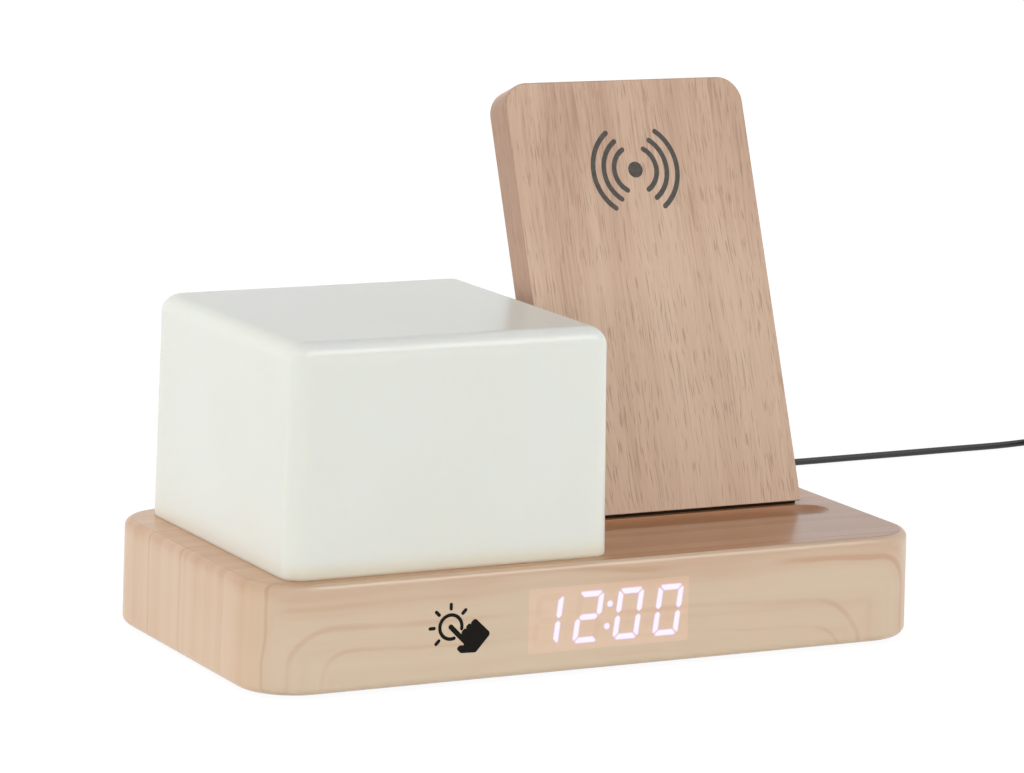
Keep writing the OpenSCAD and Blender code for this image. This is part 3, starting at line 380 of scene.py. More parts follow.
# Plain finishes: a colour and that of its fine specks, roughness, grains per metre and bump in millimetres
plain = {
    "moulded": ((52, 50, 49), (43, 41, 40), 0.55, 1800, 0.03),
    "key": ((98, 80, 66), (90, 73, 60), 0.42, 1500, 0.01),
    "keyInk": ((226, 214, 198), (218, 205, 188), 0.5, 2500, 0),
    "rubberFoot": ((58, 57, 56), (50, 49, 48), 0.8, 1200, 0.03),
    # painted shade: near black, for the strip in the gap below the panel
    "gapShadeDark": ((36, 28, 22), (28, 22, 18), 0.9, 1500, 0.02),
    "jacket": ((38, 37, 37), (33, 32, 32), 0.42, 1500, 0.01),
    "wireCover": ((150, 44, 38), (138, 38, 34), 0.4, 900, 0),
    "screwSteel": ((196, 197, 199), (176, 177, 180), 0.32, 2500, 0.004),
    "coilCopper": ((206, 128, 84), (188, 110, 70), 0.35, 2500, 0.01),
    "boardGreen": ((44, 98, 62), (36, 84, 54), 0.36, 260, 0.01),
    "ferrite": ((66, 66, 70), (58, 58, 61), 0.7, 900, 0.02),
    "whiteMoulded": ((232, 232, 228), (224, 224, 220), 0.5, 900, 0.01),
    "lampLens": ((244, 226, 150), (238, 214, 130), 0.2, 800, 0),
    "touchInk": ((20, 16, 13), (25, 21, 18), 0.6, 2500, 0.004),
    "signalInk": ((82, 77, 71), (72, 68, 62), 0.55, 900, 0.004),
}
plainMore = {"metals": ("screwSteel", "coilCopper"), "shine": 0.5, "roughCloud": 0.12, "specks": (0.35, 0.65),
             "dull": {"gapShadeDark": 0.1, "touchInk": 0.1, "signalInk": 0.25}}  # those with less shine


def plainFinish(name):
    colour, speck, rough, perMetre, bump = plain[name]
    material, shader, place = startFinish(name, {
        "Metallic": 1.0 if name in plainMore["metals"] else 0.0,
        "Specular IOR Level": plainMore["dull"].get(name, plainMore["shine"])})
    grain = place.noise((perMetre, perMetre, perMetre))
    mixed = grain.ease(*plainMore["specks"]).blend(tone(*colour), tone(*speck))
    endFinish(shader, place, mixed, rough + (grain - 0.5) * plainMore["roughCloud"], grain, bump * mm)
    return material


# Lit bars: near white in the middle, lavender at their rims
glow = {"core": tone(252, 244, 253), "rim": tone(236, 206, 242),
        "shader": {"Base Color": tone(20, 18, 20), "Roughness": 0.5, "Specular IOR Level": 0.2,
                   "Emission Strength": 1.0}}


def glowFinish(name, look):
    material, shader, place = startFinish(name, look["shader"])
    inner = place.make("ShaderNodeAttribute", {"attribute_name": "inner"}, None, "Fac")
    place.feed(shader.inputs["Emission Color"], inner.ease(0.0, 0.8).blend(look["rim"], look["core"]))
    return material


# The film over the display is the base's, a little lighter and pinker
displayTones = {"window": (tone(234, 207, 182), tone(231, 200, 173), tone(220, 177, 148)),
                "unlit": (tone(232, 204, 179), tone(229, 196, 169), tone(218, 174, 144))}
finishes = {name: plainFinish(name) for name in plain}
finishes["maple"] = mapleFinish("maple", maple)
for name, tones in displayTones.items():
    finishes[name] = mapleFinish(name, {**maple, "tones": {**maple["tones"], "front": tones}})
finishes["oak"] = oakFinish("oak", oak)
finishes["milk"] = milkFinish("milk", milk)
finishes["glow"] = glowFinish("glow", glow)
print("finishes made:", len(finishes))


# The finish of each record slot, for the solids that are shown as they are
slotFinish = {"maple_film": "maple", "oak_film": "oak", "milky_plastic": "milk", "window_film": "window",
              "lit_digits": "glow", "lamp_light": "lampLens", "white_plastic": "whiteMoulded",
              "dark_plastic": "moulded", "button_plastic": "key", "rubber": "rubberFoot",
              "cord_cover": "jacket", "wire_cover": "wireCover", "circuit_board": "boardGreen",
              "steel": "screwSteel", "copper": "coilCopper", "ferrite": "ferrite"}
for nodeName, solid in frame["nodes"].items():
    solid.data.materials.clear()
    solid.data.materials.append(finishes[slotFinish[nodeSlot[nodeName]]])
print("solids dressed")


# Folds sharper than this stay sharp in the shading
sharpFold = math.radians(35)


def meshOf(name, bm):
    bmesh.ops.recalc_face_normals(bm, faces=bm.faces)
    mesh = bpy.data.meshes.new(name)
    bm.to_mesh(mesh)
    bm.free()
    for face in mesh.polygons:
        face.use_smooth = True
    mesh.set_sharp_from_angle(angle=sharpFold)
    return mesh


def addPiece(name, shape, finish, body="clock", replaces=()):
    modelled = isinstance(shape, bmesh.types.BMesh)
    data = meshOf(name, shape) if modelled else shape
    piece = bpy.data.objects.new(name, data)
    bpy.context.scene.collection.objects.link(piece)
    data.materials.append(finishes[finish])
    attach(piece, body)
    if replaces:
        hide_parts(*replaces)
    if modelled:  # flat faces stay flat beside rounded edges
        piece.modifiers.new("flatFaces", "WEIGHTED_NORMAL").keep_sharp = True
    return piece


# Outlines are lists of points in a plane, rings are outlines set in space
def arc(centre, radius, start, stop, steps):
    turns = [math.radians(start + (stop - start) * i / steps) for i in range(steps + 1)]
    return [Vector(centre) + radius * Vector((math.cos(t), math.sin(t))) for t in turns]


def circle(centre, radius, points):
    return arc(centre, radius, 0, 360 - 360 / points, points - 1)


def roundRect(wide, tall, radius, steps=6):
    made = []
    for quarter, (sx, sy) in enumerate(((1, 1), (-1, 1), (-1, -1), (1, -1))):
        centre = (sx * (wide / 2 - radius), sy * (tall / 2 - radius))
        made += arc(centre, radius, 90 * quarter, 90 * quarter + 90, steps)
    return made


def roundOutline(corners, steps=5):  # corners as x, y and the radius that rounds them
    made = []
    for i, (x, y, radius) in enumerate(corners):
        here = Vector((x, y))
        back = Vector(corners[i - 1][:2]) - here
        on = Vector(corners[(i + 1) % len(corners)][:2]) - here
        half = back.angle(on) / 2
        reach = min(radius / math.tan(half), 0.48 * back.length, 0.48 * on.length)  # rounds never meet
        middle = here + (back.normalized() + on.normalized()).normalized() * (reach / math.cos(half))
        first = here + back.normalized() * reach - middle
        last = here + on.normalized() * reach - middle
        start = math.degrees(math.atan2(first.y, first.x))
        sweep = (math.degrees(math.atan2(last.y, last.x)) - start + 180) % 360 - 180
        made += arc(middle, first.length, start, start + sweep, steps)
    return made


def stroke(radius, wide, start, stop, steps=24):  # a bent band with round ends
    def roundEnd(at, turn):
        middle = radius * Vector((math.cos(math.radians(at)), math.sin(math.radians(at))))
        return arc(middle, wide / 2, turn, turn + 180, 8)[1:-1]

    out = arc((0, 0), radius + wide / 2, start, stop, steps)
    back = arc((0, 0), radius - wide / 2, stop, start, steps)
    return out + roundEnd(stop, stop) + back + roundEnd(start, start + 180)


def ringIn(plane, outline, height):
    return [plane @ Vector((p[0], p[1], height)) for p in outline]


def loft(bm, rings, closed=False):
    made = [[bm.verts.new(p) for p in ring] for ring in rings]
    pairs = list(zip(made, made[1:])) + ([(made[-1], made[0])] if closed else [])
    for low, high in pairs:
        for i in range(len(low)):
            j = (i + 1) % len(low)
            bm.faces.new((low[i], low[j], high[j], high[i]))
    if not closed:
        bm.faces.new(list(reversed(made[0])))
        bm.faces.new(made[-1])
    return made


def slab(bm, plane, outline, low, high):
    loft(bm, [ringIn(plane, outline, low), ringIn(plane, outline, high)])


# A profile of radii and heights, turned about the plane's outward axis
def turned(bm, plane, profile, points=48):
    loft(bm, [ringIn(plane, circle((0, 0), radius, points), height) for radius, height in profile])


def quarterTurn(steps):
    return [math.pi / 2 * i / steps for i in range(steps + 1)]


# Moulded plugs: a stadium or block body with rounded ends, grip grooves and a ribbed strain relief;
# grips are in millimetres from the plug's face
plugs = {
    "clockPlug": dict(node="cord_plug", wide=11.5 * mm, tall=6.4 * mm, corner=3.15 * mm, long=17 * mm,
                      grips=(5.5, 7.5, 9.5, 11.5), sink=0.3 * mm, edge=0.7 * mm, fat=2.6 * mm),
    "usbPlug": dict(node="usb_plug", wide=16 * mm, tall=8.7 * mm, corner=1.9 * mm, long=24 * mm,
                    grips=(9, 11.2, 13.4, 15.6), sink=0.35 * mm, edge=0.9 * mm, fat=2.7 * mm),
}
plugShape = {"points": 6, "cornerLoss": 0.8, "edgeSteps": 4, "shoulder": 2.2 * mm, "shoulderSteps": 5,
             "groove": ((-0.75, 0), (-0.45, 1), (0.25, 1), (0.55, 0)),  # millimetres along, share of the sink
             "relief": 9 * mm, "ribs": 5, "sleeve": 0.15 * mm, "ribLoss": 0.6,
             "rib": ((0.0, 0.0), (0.12, 0.32 * mm), (0.5, 0.36 * mm), (0.62, 0.0))}  # share along, swell


def reliefRings(plane, start, fat):
    thin = lead["diameter"] / 2 + plugShape["sleeve"]
    long, ribs = plugShape["relief"], plugShape["ribs"]

    def ring(radius, along):
        outline = roundRect(2 * radius, 2 * radius, radius, plugShape["points"])
        return ringIn(plane, outline, start + long * along)

    rings = []
    for i in range(ribs):
        for share, swell in plugShape["rib"]:
            along = (i + share) / ribs
            rings.append(ring(fat + (thin - fat) * along + swell * (1 - plugShape["ribLoss"] * along), along))
    return rings + [ring(thin, 1)]


def mouldedPlug(name, plane):
    plug = plugs[name]
    edge, shoulder = plug["edge"], plugShape["shoulder"]

    def section(inset, height):
        corner = plug["corner"] - inset * plugShape["cornerLoss"]
        outline = roundRect(plug["wide"] - 2 * inset, plug["tall"] - 2 * inset, corner, plugShape["points"])
        return ringIn(plane, outline, height)

    rings = []
    for turn in quarterTurn(plugShape["edgeSteps"]):  # round edge at the face that meets the socket
        rings.append(section(edge * (1 - math.sin(turn)), edge * (1 - math.cos(turn))))
    for grip in plug["grips"]:
        for along, share in plugShape["groove"]:
            rings.append(section(plug["sink"] * share, (grip + along) * mm))
    for turn in quarterTurn(plugShape["shoulderSteps"]):  # round shoulder towards the strain relief
        rings.append(section(shoulder * (1 - math.cos(turn)), plug["long"] - shoulder * (1 - math.sin(turn))))
    bm = bmesh.new()
    loft(bm, rings + reliefRings(plane, plug["long"], plug["fat"]))
    return addPiece(name, bm, "moulded", replaces=(plug["node"],))


# Metal end of the far plug: a folded tube with two windows above and below, and its tongue
tube = {"wall": 0.3 * mm, "fold": 0.7 * mm, "hole": 2.0 * mm, "holeOut": 3.1 * mm,
        "holeAlong": (4.6 * mm, 7.0 * mm), "tongue": 1.6 * mm, "tongueIn": 0.43 * mm,
        "tongueCorner": 0.2 * mm, "tongueRise": 1.15 * mm, "tongueShort": 0.6 * mm}


def usbEnd():
    low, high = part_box("usb_plug_shell")
    middle = (low + high) / 2
    long, wide, tall = high - low
    fold, out, reach = tube["fold"], tube["holeOut"], tube["hole"] / 2
    acrossCuts = [fold - wide / 2, -out - reach, reach - out]
    acrossCuts += [-cut for cut in reversed(acrossCuts)]
    alongCuts = [low.x, *(low.x + along for along in tube["holeAlong"]), high.x]
    loop = [(y, tall / 2) for y in acrossCuts]
    # the fold's arc goes on from the last cut
    loop += [tuple(p) for p in arc((wide / 2 - fold, tall / 2 - fold), fold, 75, 0, 5)]
    loop += [(-y, -z) for y, z in loop]
    bm = bmesh.new()
    rings = [[bm.verts.new((x, middle.y + y, middle.z + z)) for y, z in loop] for x in alongCuts]
    for stretch, (near, far) in enumerate(zip(rings, rings[1:])):
        for i, (y, z) in enumerate(loop):
            j = (i + 1) % len(loop)
            nextY, nextZ = loop[j]
            inWindow = z == nextZ and abs(abs(y + nextY) / 2 - out) < reach / 2
            if not (stretch == 1 and inWindow):
                bm.faces.new((near[i], near[j], far[j], far[i]))
    shell = addPiece("usbShell", bm, "screwSteel", replaces=("usb_plug_shell",))
    sheet = shell.modifiers.new("sheet", "SOLIDIFY")
    sheet.thickness = tube["wall"]
    sheet.offset = -1
    bm = bmesh.new()
    plane = planeAt((low.x, middle.y, low.z + tube["tongueRise"]), (0, 1, 0), (0, 0, 1))
    outline = roundRect(wide - 2 * tube["tongueIn"], tube["tongue"], tube["tongueCorner"], 3)
    slab(bm, plane, outline, 0, long - tube["tongueShort"])
    return [shell, addPiece("usbTongue", bm, "whiteMoulded")]


# Strap that holds the coil together, with rounded bends
tie = {"thick": 0.6 * mm, "bend": 1.5 * mm, "edge": 0.15 * mm}


def leadTie():
    low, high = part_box("cord_tie")
    middle = (low + high) / 2
    long, wide, tall = high - low
    thick, edge = tie["thick"], tie["edge"]
    plane = planeAt((low.x, middle.y, middle.z), (0, 1, 0), (0, 0, 1))

    def ring(inset, along):
        return ringIn(plane, roundRect(wide - 2 * inset, tall - 2 * inset, tie["bend"] - inset), along)

    bm = bmesh.new()
    loft(bm, [ring(edge, 0), ring(0, edge), ring(0, long - edge), ring(edge, long),
              ring(thick, long), ring(thick, 0)], closed=True)
    return addPiece("leadTie", bm, "rubberFoot", replaces=("cord_tie",))


# Supply lead: down from its plug, round to the right and off to a put-away coil
lead = {"diameter": 2.2 * mm, "loops": 4, "loopAcross": 26.4 * mm, "loopGap": 0.55 * mm, "tail": 10 * mm,
        "steps": 6, "perLoop": 48, "roundness": 4,
        "route": [  # millimetres
                  (48, 78.5, 15.2), (48, 81, 15.2), (48, 86, 14.9), (48.2, 92, 13.6), (48.6, 99, 10.8),
                  (49.2, 106, 7.2), (50, 113, 4), (51.4, 120, 1.9), (54, 129, 1.2), (59, 140, 1.2),
                  (67, 150, 1.2), (78, 158.5, 1.2), (92, 165, 1.2), (108, 169.5, 1.2), (126, 172, 1.2),
                  (146, 173, 1.2), (168, 173, 1.2), (192, 173.3, 1.2), (212, 173.8, 1.2), (232, 174.3, 1.2),
                  (252, 174.9, 1.2), (270, 175.4, 1.2), (282, 175.8, 1.5), (289, 176, 1.8), (292, 176, 1.8)]}


def smoothRoute(points, steps):  # a smooth curve through the points
    last = len(points) - 1
    made = []
    for i in range(last):
        a, b, c, d = (points[max(i - 1, 0)], points[i], points[i + 1], points[min(i + 2, last)])
        for s in range(steps):
            t = s / steps
            made.append(0.5 * (2 * b + (c - a) * t + (2 * a - 5 * b + 4 * c - d) * t ** 2
                               + (3 * b - a - 3 * c + d) * t ** 3))
    return made + [points[last]]


def coilPoints(start):  # loops spiral in on the table, climb a layer in half a turn and spiral out on top
    loops = lead["loops"]
    step = lead["diameter"] + lead["loopGap"]
    outer = lead["loopAcross"] / 2 + loops * step / 2
    middle = start - Vector((0, outer, 0))
    made = []
    for i in range(2 * loops * lead["perLoop"] + 1):
        u = i / lead["perLoop"]
        t = min(max(2 * (u - loops) + 0.5, 0), 1)
        r = outer - step * (loops - abs(u - loops))
        turn = math.radians(90 - 360 * u)
        made.append(middle + Vector((r * math.cos(turn), r * math.sin(turn), step * t * t * (3 - 2 * t))))
    return made + [made[-1] + Vector((lead["tail"], 0, 0))]


def layLead():
    route = smoothRoute([Vector(p) * mm for p in lead["route"]], lead["steps"])
    points = route + coilPoints(route[-1] + Vector((lead["diameter"], 0, 0)))
    length = sum((b - a).length for a, b in zip(points, points[1:]))
    curve = bpy.data.curves.new("supplyLead", "CURVE")
    curve.dimensions = "3D"
    curve.bevel_depth = lead["diameter"] / 2
    curve.bevel_resolution = lead["roundness"]
    curve.use_fill_caps = True
    spline = curve.splines.new("POLY")
    spline.points.add(len(points) - 1)
    for point, place in zip(spline.points, points):
        point.co = (*place, 1)
    spline.use_smooth = True
    piece = addPiece("supplyLead", curve, "jacket", replaces=("cord_lead", "cord_coil"))
    socketFace = (points[0].x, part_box("cord_plug")[0].y, points[0].z)
    clockPlug = mouldedPlug("clockPlug", planeAt(socketFace, (-1, 0, 0), (0, 0, 1)))
    shellFace = (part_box("usb_plug")[1].x, points[-1].y, points[-1].z)
    usbPlug = mouldedPlug("usbPlug", planeAt(shellFace, (0, -1, 0), (0, 0, 1)))
    leadTie()
    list(usbEnd())
    print("lead laid:", round(length, 3), "m")


layLead()


# Lamp shade: leaning sides, tight upright edges and a round edge about the top, hollow inside
shade = {"draft": math.radians(1.2), "edge": 5.2 * mm, "topEdge": 5.0 * mm, "cornerLoss": 0.6,
         "proud": 0.25 * mm, "wall": 2.2 * mm, "points": 10, "steps": 12, "levels": (0.02, 0.25, 0.5, 0.75),
         "footEdge": ((0.12 * mm, 0), (0.03 * mm, 0.1 * mm))}  # inset and height


def lampShade():
    low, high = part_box("lamp_shade")
    middle = (low + high) / 2
    plane = Matrix.Translation((middle.x, middle.y, low.z))
    wide, deep, tall = high - low
    lean = math.tan(shade["draft"])
    wall, edge, topEdge, proud = (shade[size] for size in ("wall", "edge", "topEdge", "proud"))

    def ring(inset, corner, level):
        return ringIn(plane, roundRect(wide - 2 * inset, deep - 2 * inset, corner, shade["points"]), level)

    def skin(inset, roof, upright, about):  # from the foot up
        lower = roof - about
        levels = [(lower * share, 0) for share in shade["levels"]]
        levels += [(lower + about * math.sin(turn), about * (1 - math.cos(turn)))
                   for turn in quarterTurn(shade["steps"])]
        return [ring(inset + more + level * lean, upright - level * lean - more * shade["cornerLoss"], level)
                for level, more in levels]

    outer = skin(-proud, tall, edge, topEdge)
    inner = skin(wall, tall - wall, edge - wall, topEdge - wall)
    foot = [ring(wall, edge - wall, 0)]
    foot += [ring(inset - proud, edge, level) for inset, level in shade["footEdge"]]
    bm = bmesh.new()
    loft(bm, list(reversed(inner)) + foot + outer)
    addPiece("lampShade", bm, "milk", replaces=("lamp_shade",))


lampShade()
print("lamp shade made")


# Charger panel and bottom cover: the solids with softened outer edges
soft = {"panel": 0.55 * mm, "backCover": 0.3 * mm, "bottomCover": 0.4 * mm, "segments": 3,
        "near": 0.02 * mm, "rim": 0.4 * mm, "backFoot": 5 * mm,  # where the softened edges lie
        "weld": 0.001 * mm, "level": math.radians(0.5), "sharper": math.radians(40)}
intoPanel = panelPlane.inverted()
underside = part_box("bottom_cover")[0].z


def onPanelRim(place):
    u, v, out = intoPanel @ place
    side = abs(u) - panel["wide"] / 2 + panel["corner"]
    top = v - panel["long"] + panel["corner"]
    far = math.hypot(side, top) if side > 0 and top > 0 else max(side, top)
    atOutline = far > panel["corner"] - soft["rim"] or v < soft["backFoot"]
    return abs(out) < soft["near"] or (out < soft["near"] - panel["thick"] and atOutline)


def onPanelBack(place):
    return (intoPanel @ place).z < soft["near"] - panel["thick"]


def onUnderside(place):
    return place.z < underside + soft["near"]


def softCopy(name, node, pick, width, finish):
    bm = bmesh.new()
    bm.from_mesh(frame["nodes"][node].data)
    bmesh.ops.remove_doubles(bm, verts=bm.verts, dist=soft["weld"])
    bmesh.ops.dissolve_limit(bm, angle_limit=soft["level"], verts=bm.verts, edges=bm.edges)
    edges = [e for e in bm.edges if len(e.link_faces) == 2 and e.is_convex
             and e.calc_face_angle() > soft["sharper"] and all(pick(v.co) for v in e.verts)]
    bmesh.ops.bevel(bm, geom=edges, offset=width, segments=soft["segments"], profile=0.5, affect="EDGES",
                    clamp_overlap=True)
    print("softened", node, len(edges), "edges")
    addPiece(name, bm, finish, replaces=(node,))


softCopy("panelFront", "charger_front", onPanelRim, soft["panel"], "oak")
softCopy("panelBack", "charger_back", onPanelBack, soft["backCover"], "oak")
softCopy("underCover", "bottom_cover", onUnderside, soft["bottomCover"], "moulded")


# Near-black strip in the gap under the panel's foot: painted shade where the gap's shadow falls
gapShadeStrip = {"in": 0.9 * mm, "corner": 1.5 * mm, "clear": 0.05 * mm}


def panelGapShade():
    deep = panel["thick"] / panelUp.z
    plane = Matrix.Translation((panelFoot.x, panelFoot.y + deep / 2, shadeFoot))
    outline = roundRect(panel["wide"] - 2 * gapShadeStrip["in"], deep - 2 * gapShadeStrip["in"], gapShadeStrip["corner"])
    bm = bmesh.new()
    slab(bm, plane, outline, gapShadeStrip["clear"], panel["gap"] - gapShadeStrip["clear"])
    addPiece("panelGapShade", bm, "gapShadeDark")


panelGapShade()


# Turns along the small round edges of feet and keys
edgeTurns = (0, 0.4, 0.8, 1.2, math.pi / 2)

# Rubber feet, turned, with a dished sole: shares of the radius and heights
feet = {"across": 12 * mm, "core": 0.3 * mm, "edge": 0.45 * mm, "dish": 0.35 * mm,
        "sole": ((0.6, 0.35 * mm), (0.68, 0.05 * mm), (0.72, 0))}


def rubberFeet():
    low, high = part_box("rubber_feet")
    r, tall, edge = feet["across"] / 2, high.z - low.z, feet["edge"]
    profile = [(feet["core"], feet["dish"])] + [(r * share, height) for share, height in feet["sole"]]
    profile += [(r - edge + edge * math.sin(t), edge - edge * math.cos(t)) for t in edgeTurns]
    profile += [(r, tall), (feet["core"], tall)]
    footX, footY, _ = mounts["foot_face"]["pos_m"]
    bm = bmesh.new()
    for x in (-footX, footX):
        for y in (footY, -footY):
            turned(bm, Matrix.Translation((x, y, low.z)), profile)
    addPiece("feet", bm, "rubberFoot", replaces=("rubber_feet",))


rubberFeet()


# Rear keys: dished caps on flanges, each with a small plain sign, a dot or a triangle
keys = {"ways": ("set", "up", "down"), "cap": 8 * mm, "flange": 1.0 * mm, "edge": 0.5 * mm, "core": 0.2 * mm,
        "dish": 0.35 * mm, "dishIn": 0.25 * mm, "dishSteps": 8, "dishCore": 0.4,
        "signProud": 0.06 * mm, "signSunk": 0.1 * mm, "dot": 0.85 * mm,
        "halfWide": 1.3 * mm, "foot": 0.9 * mm, "tip": 1.25 * mm, "corner": 0.2 * mm}


def keySign(way):
    if way == "set":
        return circle((0, 0), keys["dot"], 24)
    up = 1 if way == "up" else -1
    corners = ((-keys["halfWide"], -keys["foot"]), (keys["halfWide"], -keys["foot"]), (0, keys["tip"]))
    return roundOutline([(x, y * up, keys["corner"]) for x, y in corners])


def rearKey(way):
    low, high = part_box(way + "_button")
    middle = (low + high) / 2
    plane = planeAt((middle.x, low.y, middle.z), (-1, 0, 0), (0, 0, 1))
    tall, flangeR, capR, edge = high.y - low.y, (high.x - low.x) / 2, keys["cap"] / 2, keys["edge"]
    profile = [(keys["core"], 0), (flangeR, 0), (flangeR, keys["flange"]), (capR, keys["flange"])]
    profile += [(capR - edge + edge * math.cos(t), tall - edge + edge * math.sin(t)) for t in edgeTurns]
    for i in range(1, keys["dishSteps"] + 1):
        r = (capR - edge - keys["dishIn"]) * (1 - i / (keys["dishSteps"] + keys["dishCore"]))
        profile.append((r, tall - keys["dish"] * (1 - (r / (capR - edge)) ** 2)))
    bm = bmesh.new()
    turned(bm, plane, profile)
    addPiece(way + "Key", bm, "key", way + "_key", (way + "_button",))
    bm = bmesh.new()
    floor = tall - keys["dish"]
    slab(bm, plane, keySign(way), floor - keys["signSunk"], floor + keys["signProud"])
    addPiece(way + "Sign", bm, "keyInk", way + "_key")


for way in keys["ways"]:
    rearKey(way)
print("keys and feet made")


# Display and marks are drawn in millimetres from a point on their plane
def inMillimetres(plane, across, up):
    return plane @ Matrix.Scale(mm, 4) @ Matrix.Translation((across, up, 0))


# Display: a film over the window, and bars of which the lit ones are bright in the middle
digits = {"middle": 0.7, "windowX": 0.9, "rise": 14.6, "pitch": 12, "tall": 14, "wide": 7.9,
          "slant": math.radians(7.6), "bar": 1.74, "gap": 0.12, "gapGain": 1.2,
          "corner": 0.45, "cornerLoss": 0.5, "cornerLeast": 0.05,
          "dot": 1.9, "dotRise": 3, "lit": ("bc", "abged", "abcdef", "abcdef"),
          "window": (47.9, 17.4, 0.5), "filmSunk": 0.6, "filmProud": 0.02, "barSunk": 0.2, "unlitProud": 0.03,
          # rings of a lit bar from its foot to its middle: inset, height and brightness
          "litRings": ((0, -0.2, 0), (0, 0.03, 0), (0.2, 0.06, 0.45), (0.5, 0.06, 1))}


# Bars as middle, direction, outward side, half length and ends,
# which are mitred at a corner and pointed at the digit's middle
def barOutline(letter, inset, move):
    up = (digits["tall"] - digits["bar"]) / 2
    out = (digits["wide"] - digits["bar"]) / 2
    across, upright = Vector((1, 0)), Vector((0, 1))
    bars = {"a": ((0, up), across, upright, out, ("mitred", "mitred")),
            "b": ((out, up / 2), upright, across, up / 2, ("pointed", "mitred")),
            "c": ((out, -up / 2), upright, across, up / 2, ("mitred", "pointed")),
            "d": ((0, -up), across, -upright, out, ("mitred", "mitred")),
            "e": ((-out, -up / 2), upright, -across, up / 2, ("mitred", "pointed")),
            "f": ((-out, up / 2), upright, -across, up / 2, ("pointed", "mitred")),
            "g": ((0, 0), across, upright, out, ("pointed", "pointed"))}
    middle, along, side, long, (first, last) = bars[letter]
    half = digits["bar"] / 2 - inset
    end = long - digits["gap"] - inset * digits["gapGain"]
    shapes = {"mitred": [(end + half, half), (end - half, -half)],
              "pointed": [(end - half, half), (end, 0), (end - half, -half)]}
    strip = shapes[last] + [(-s, t) for s, t in reversed(shapes[first])]
    points = [Vector(middle) + along * s + side * t for s, t in strip]
    lean = math.tan(digits["slant"])
    corner = max(digits["corner"] - inset * digits["cornerLoss"], digits["cornerLeast"])
    return [p + Vector((move, 0)) for p in roundOutline([(p.x + p.y * lean, p.y, corner) for p in points], 3)]


def display():
    plane = inMillimetres(frontPlane, 0, digits["rise"])
    film = bmesh.new()
    window = [(p.x + digits["windowX"], p.y) for p in roundRect(*digits["window"])]
    slab(film, plane, window, -digits["filmSunk"], digits["filmProud"])
    addPiece("windowFilm", film, "window", replaces=("display_window",))
    unlit, lit = bmesh.new(), bmesh.new()
    inner = lit.verts.layers.float.new("inner")

    def litBar(outlineAt):
        steps = digits["litRings"]
        rings = loft(lit, [ringIn(plane, outlineAt(inset), height) for inset, height, _ in steps])
        for ring, (_, _, bright) in zip(rings, steps):
            for corner in ring:
                corner[inner] = bright

    for i, letters in enumerate(digits["lit"]):
        move = digits["middle"] + (i - 1.5) * digits["pitch"]
        for letter in "abcdefg":
            if letter in letters:
                litBar(lambda inset: barOutline(letter, inset, move))
            else:
                slab(unlit, plane, barOutline(letter, 0, move), -digits["barSunk"], digits["unlitProud"])
    for rise in (-digits["dotRise"], digits["dotRise"]):
        middle = (digits["middle"] + rise * math.tan(digits["slant"]), rise)
        litBar(lambda inset: circle(middle, digits["dot"] / 2 - inset, 24))
    addPiece("unlitBars", unlit, "unlit", replaces=("unlit_segments",))
    addPiece("litBars", lit, "glow", replaces=("lit_segments",))


display()
print("display made")


# Printed marks: a touch sign on the base's front and a signal sign on the panel
touch = {"at": (-45.75, 15.15), "ring": 3.2, "stroke": 0.96, "ringFrom": -12, "ringTo": 288, "ringSteps": 40,
         "rays": (45, 90, 135, 180, 225), "rayFrom": 4.85, "rayTo": 6.0, "handTurn": -45,
         "hand": [(-0.7, -0.7, 0.7), (6.6, -0.7, 0.2), (5.5, -1.7, 0.6), (5.3, -3.0, 0.7), (7.2, -3.0, 0.8),
                  (10.4, 0, 0.8), (10.1, 6.5, 1.0), (3.6, 6.3, 0.9), (3.6, 4.6, 0.8), (4.0, 4.4, 0.1),
                  (3.3, 4.2, 0.8), (3.3, 2.8, 0.8), (3.95, 2.6, 0.1), (3.3, 2.4, 0.8), (3.3, 0.95, 0.7),
                  (4.0, 0.7, 0.1), (-0.7, 0.7, 0.7)]}
signal = {"at": (0.13, 96.9), "dot": 2.28, "stroke": 1.48,
          "arcs": ((6.7, 60), (9.95, 56), (13.3, 54))}  # radius, and degrees to either side
ink = {"proud": 0.02, "sunk": 0.1}


def printMark(name, outlines, plane, finish):
    bm = bmesh.new()
    for outline in outlines:
        slab(bm, plane, outline, -ink["sunk"], ink["proud"])
    addPiece(name, bm, finish)


def turnedOutline(outline, degrees):
    turn = Matrix.Rotation(math.radians(degrees), 2)
    return [turn @ Vector(p) for p in outline]


def touchMark():
    half = touch["stroke"] / 2
    ray = arc((touch["rayTo"], 0), half, -90, 90, 8) + arc((touch["rayFrom"], 0), half, 90, 270, 8)
    ring = stroke(touch["ring"], touch["stroke"], touch["ringFrom"], touch["ringTo"], touch["ringSteps"])
    hand = turnedOutline(roundOutline(touch["hand"]), touch["handTurn"])
    outlines = [ring] + [turnedOutline(ray, degrees) for degrees in touch["rays"]] + [hand]
    printMark("touchMark", outlines, inMillimetres(frontPlane, *touch["at"]), "touchInk")


def signalMark():
    outlines = [circle((0, 0), signal["dot"], 48)]
    for radius, half in signal["arcs"]:
        outlines += [stroke(radius, signal["stroke"], side - half, side + half) for side in (0, 180)]
    printMark("signalMark", outlines, inMillimetres(panelPlane, *signal["at"]), "signalInk")


touchMark()
signalMark()
print("marks printed")


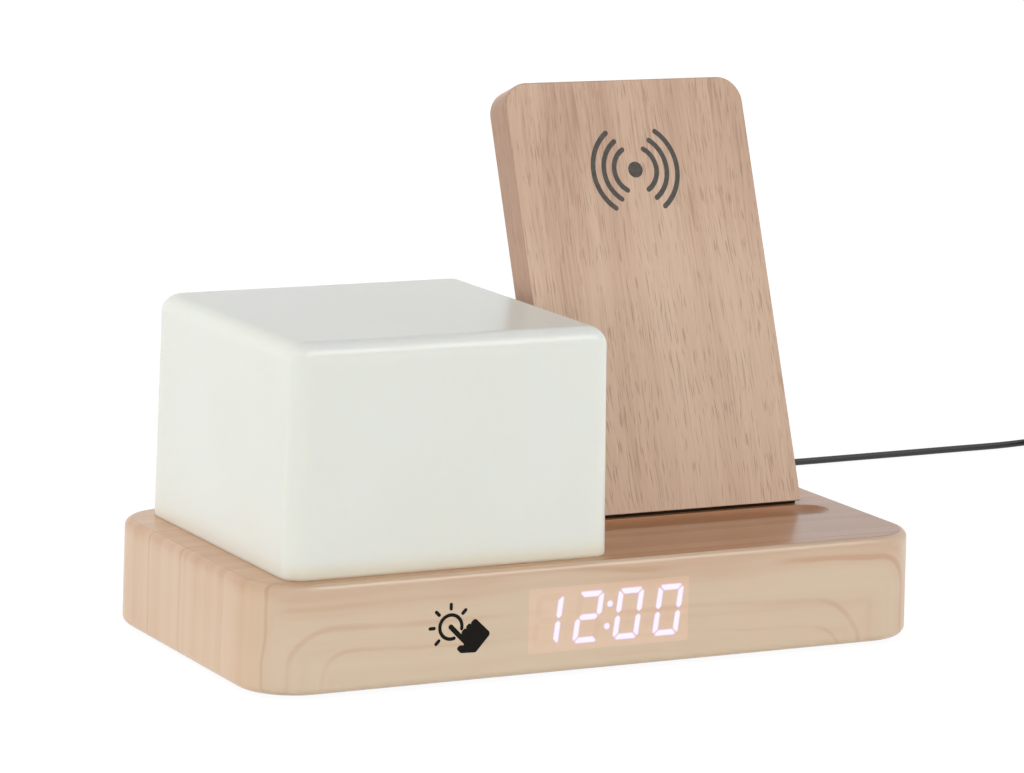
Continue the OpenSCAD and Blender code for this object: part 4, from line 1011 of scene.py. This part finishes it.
# Stage: a pale floor, white all round to the camera and in reflections, soft light that comes from the sides
stage = {"floorHalf": 6.0, "floorDrop": 0.05 * mm, "floorTone": (0.86, 0.86, 0.86, 1), "floorLift": 0.82,
         "floorGlow": 1.14, "white": (1, 1, 1, 1),
         "skyLow": 3.0, "skyHigh": 0.22, "skyRise": (0.12, 0.4), "lampAim": (0, 0, 0.05)}
lamps = [  # the soft ones light the object, the last one only shows as a line along rounded edges
    {"name": "keyLamp", "place": (-1.5, -0.5, 1.3), "size": 1.3, "power": 4.2, "soft": True},
    {"name": "fillLamp", "place": (1.6, -1.7, 0.5), "size": 1.6, "power": 5.7, "soft": True},
    {"name": "backLamp", "place": (-0.3, 1.3, 1.5), "size": 1.2, "power": 9.5, "soft": True},
    {"name": "edgeLamp", "place": (0.7, -0.94, 1.25), "size": 0.7, "power": 8, "soft": False},
]


def seenWhite(start):  # 1 for what the camera sees itself, in a gloss or through a clear piece
    rays = [start.make("ShaderNodeLightPath", out=ray)
            for ray in ("Is Camera Ray", "Is Glossy Ray", "Is Transmission Ray")]
    return (rays[0] + rays[1] + rays[2]).least(1.0)


def setSky():
    world = bpy.data.worlds.new("studio")
    bpy.context.scene.world = world
    world.use_nodes = True
    backdrop = world.node_tree.nodes["Background"]
    start = Wire(world.node_tree)
    high = start.make("ShaderNodeTexCoord", out="Generated").parts()[2].ease(*stage["skyRise"])
    sky = high * (stage["skyHigh"] - stage["skyLow"]) + stage["skyLow"]
    white = seenWhite(start)
    start.feed(backdrop.inputs["Color"], stage["white"])
    start.feed(backdrop.inputs["Strength"], white + sky * (1 - white))


def layFloor():
    bm = bmesh.new()
    bmesh.ops.create_grid(bm, x_segments=1, y_segments=1, size=stage["floorHalf"])
    mesh = bpy.data.meshes.new("floor")
    bm.to_mesh(mesh)
    bm.free()
    floor = bpy.data.objects.new("floor", mesh)
    floor.location.z = -stage["floorDrop"]
    bpy.context.scene.collection.objects.link(floor)
    material = bpy.data.materials.new("paleFloor")
    material.use_nodes = True
    tree = material.node_tree
    start = Wire(tree)
    paper = start.make("ShaderNodeBsdfDiffuse", None, {"Color": stage["floorTone"]})
    shine = start.make("ShaderNodeEmission", None, {"Color": stage["white"], "Strength": stage["floorGlow"]})
    mixed = start.make("ShaderNodeMixShader", None,
                       {0: seenWhite(start) * stage["floorLift"], 1: paper, 2: shine})
    start.feed(tree.nodes["Material Output"].inputs["Surface"], mixed)
    mesh.materials.append(material)


def hangLamps():
    for lamp in lamps:
        data = bpy.data.lights.new(lamp["name"], "AREA")
        data.shape = "DISK"
        data.size = lamp["size"]
        data.energy = lamp["power"]
        light = bpy.data.objects.new(lamp["name"], data)
        light.location = lamp["place"]
        way = Vector(stage["lampAim"]) - Vector(lamp["place"])
        light.rotation_euler = way.to_track_quat("-Z", "Y").to_euler()
        light.visible_diffuse = lamp["soft"]
        light.visible_glossy = not lamp["soft"]
        bpy.context.scene.collection.objects.link(light)


setSky()
layFloor()
hangLamps()
bpy.context.scene.view_settings.view_transform = "Standard"
print("stage set")
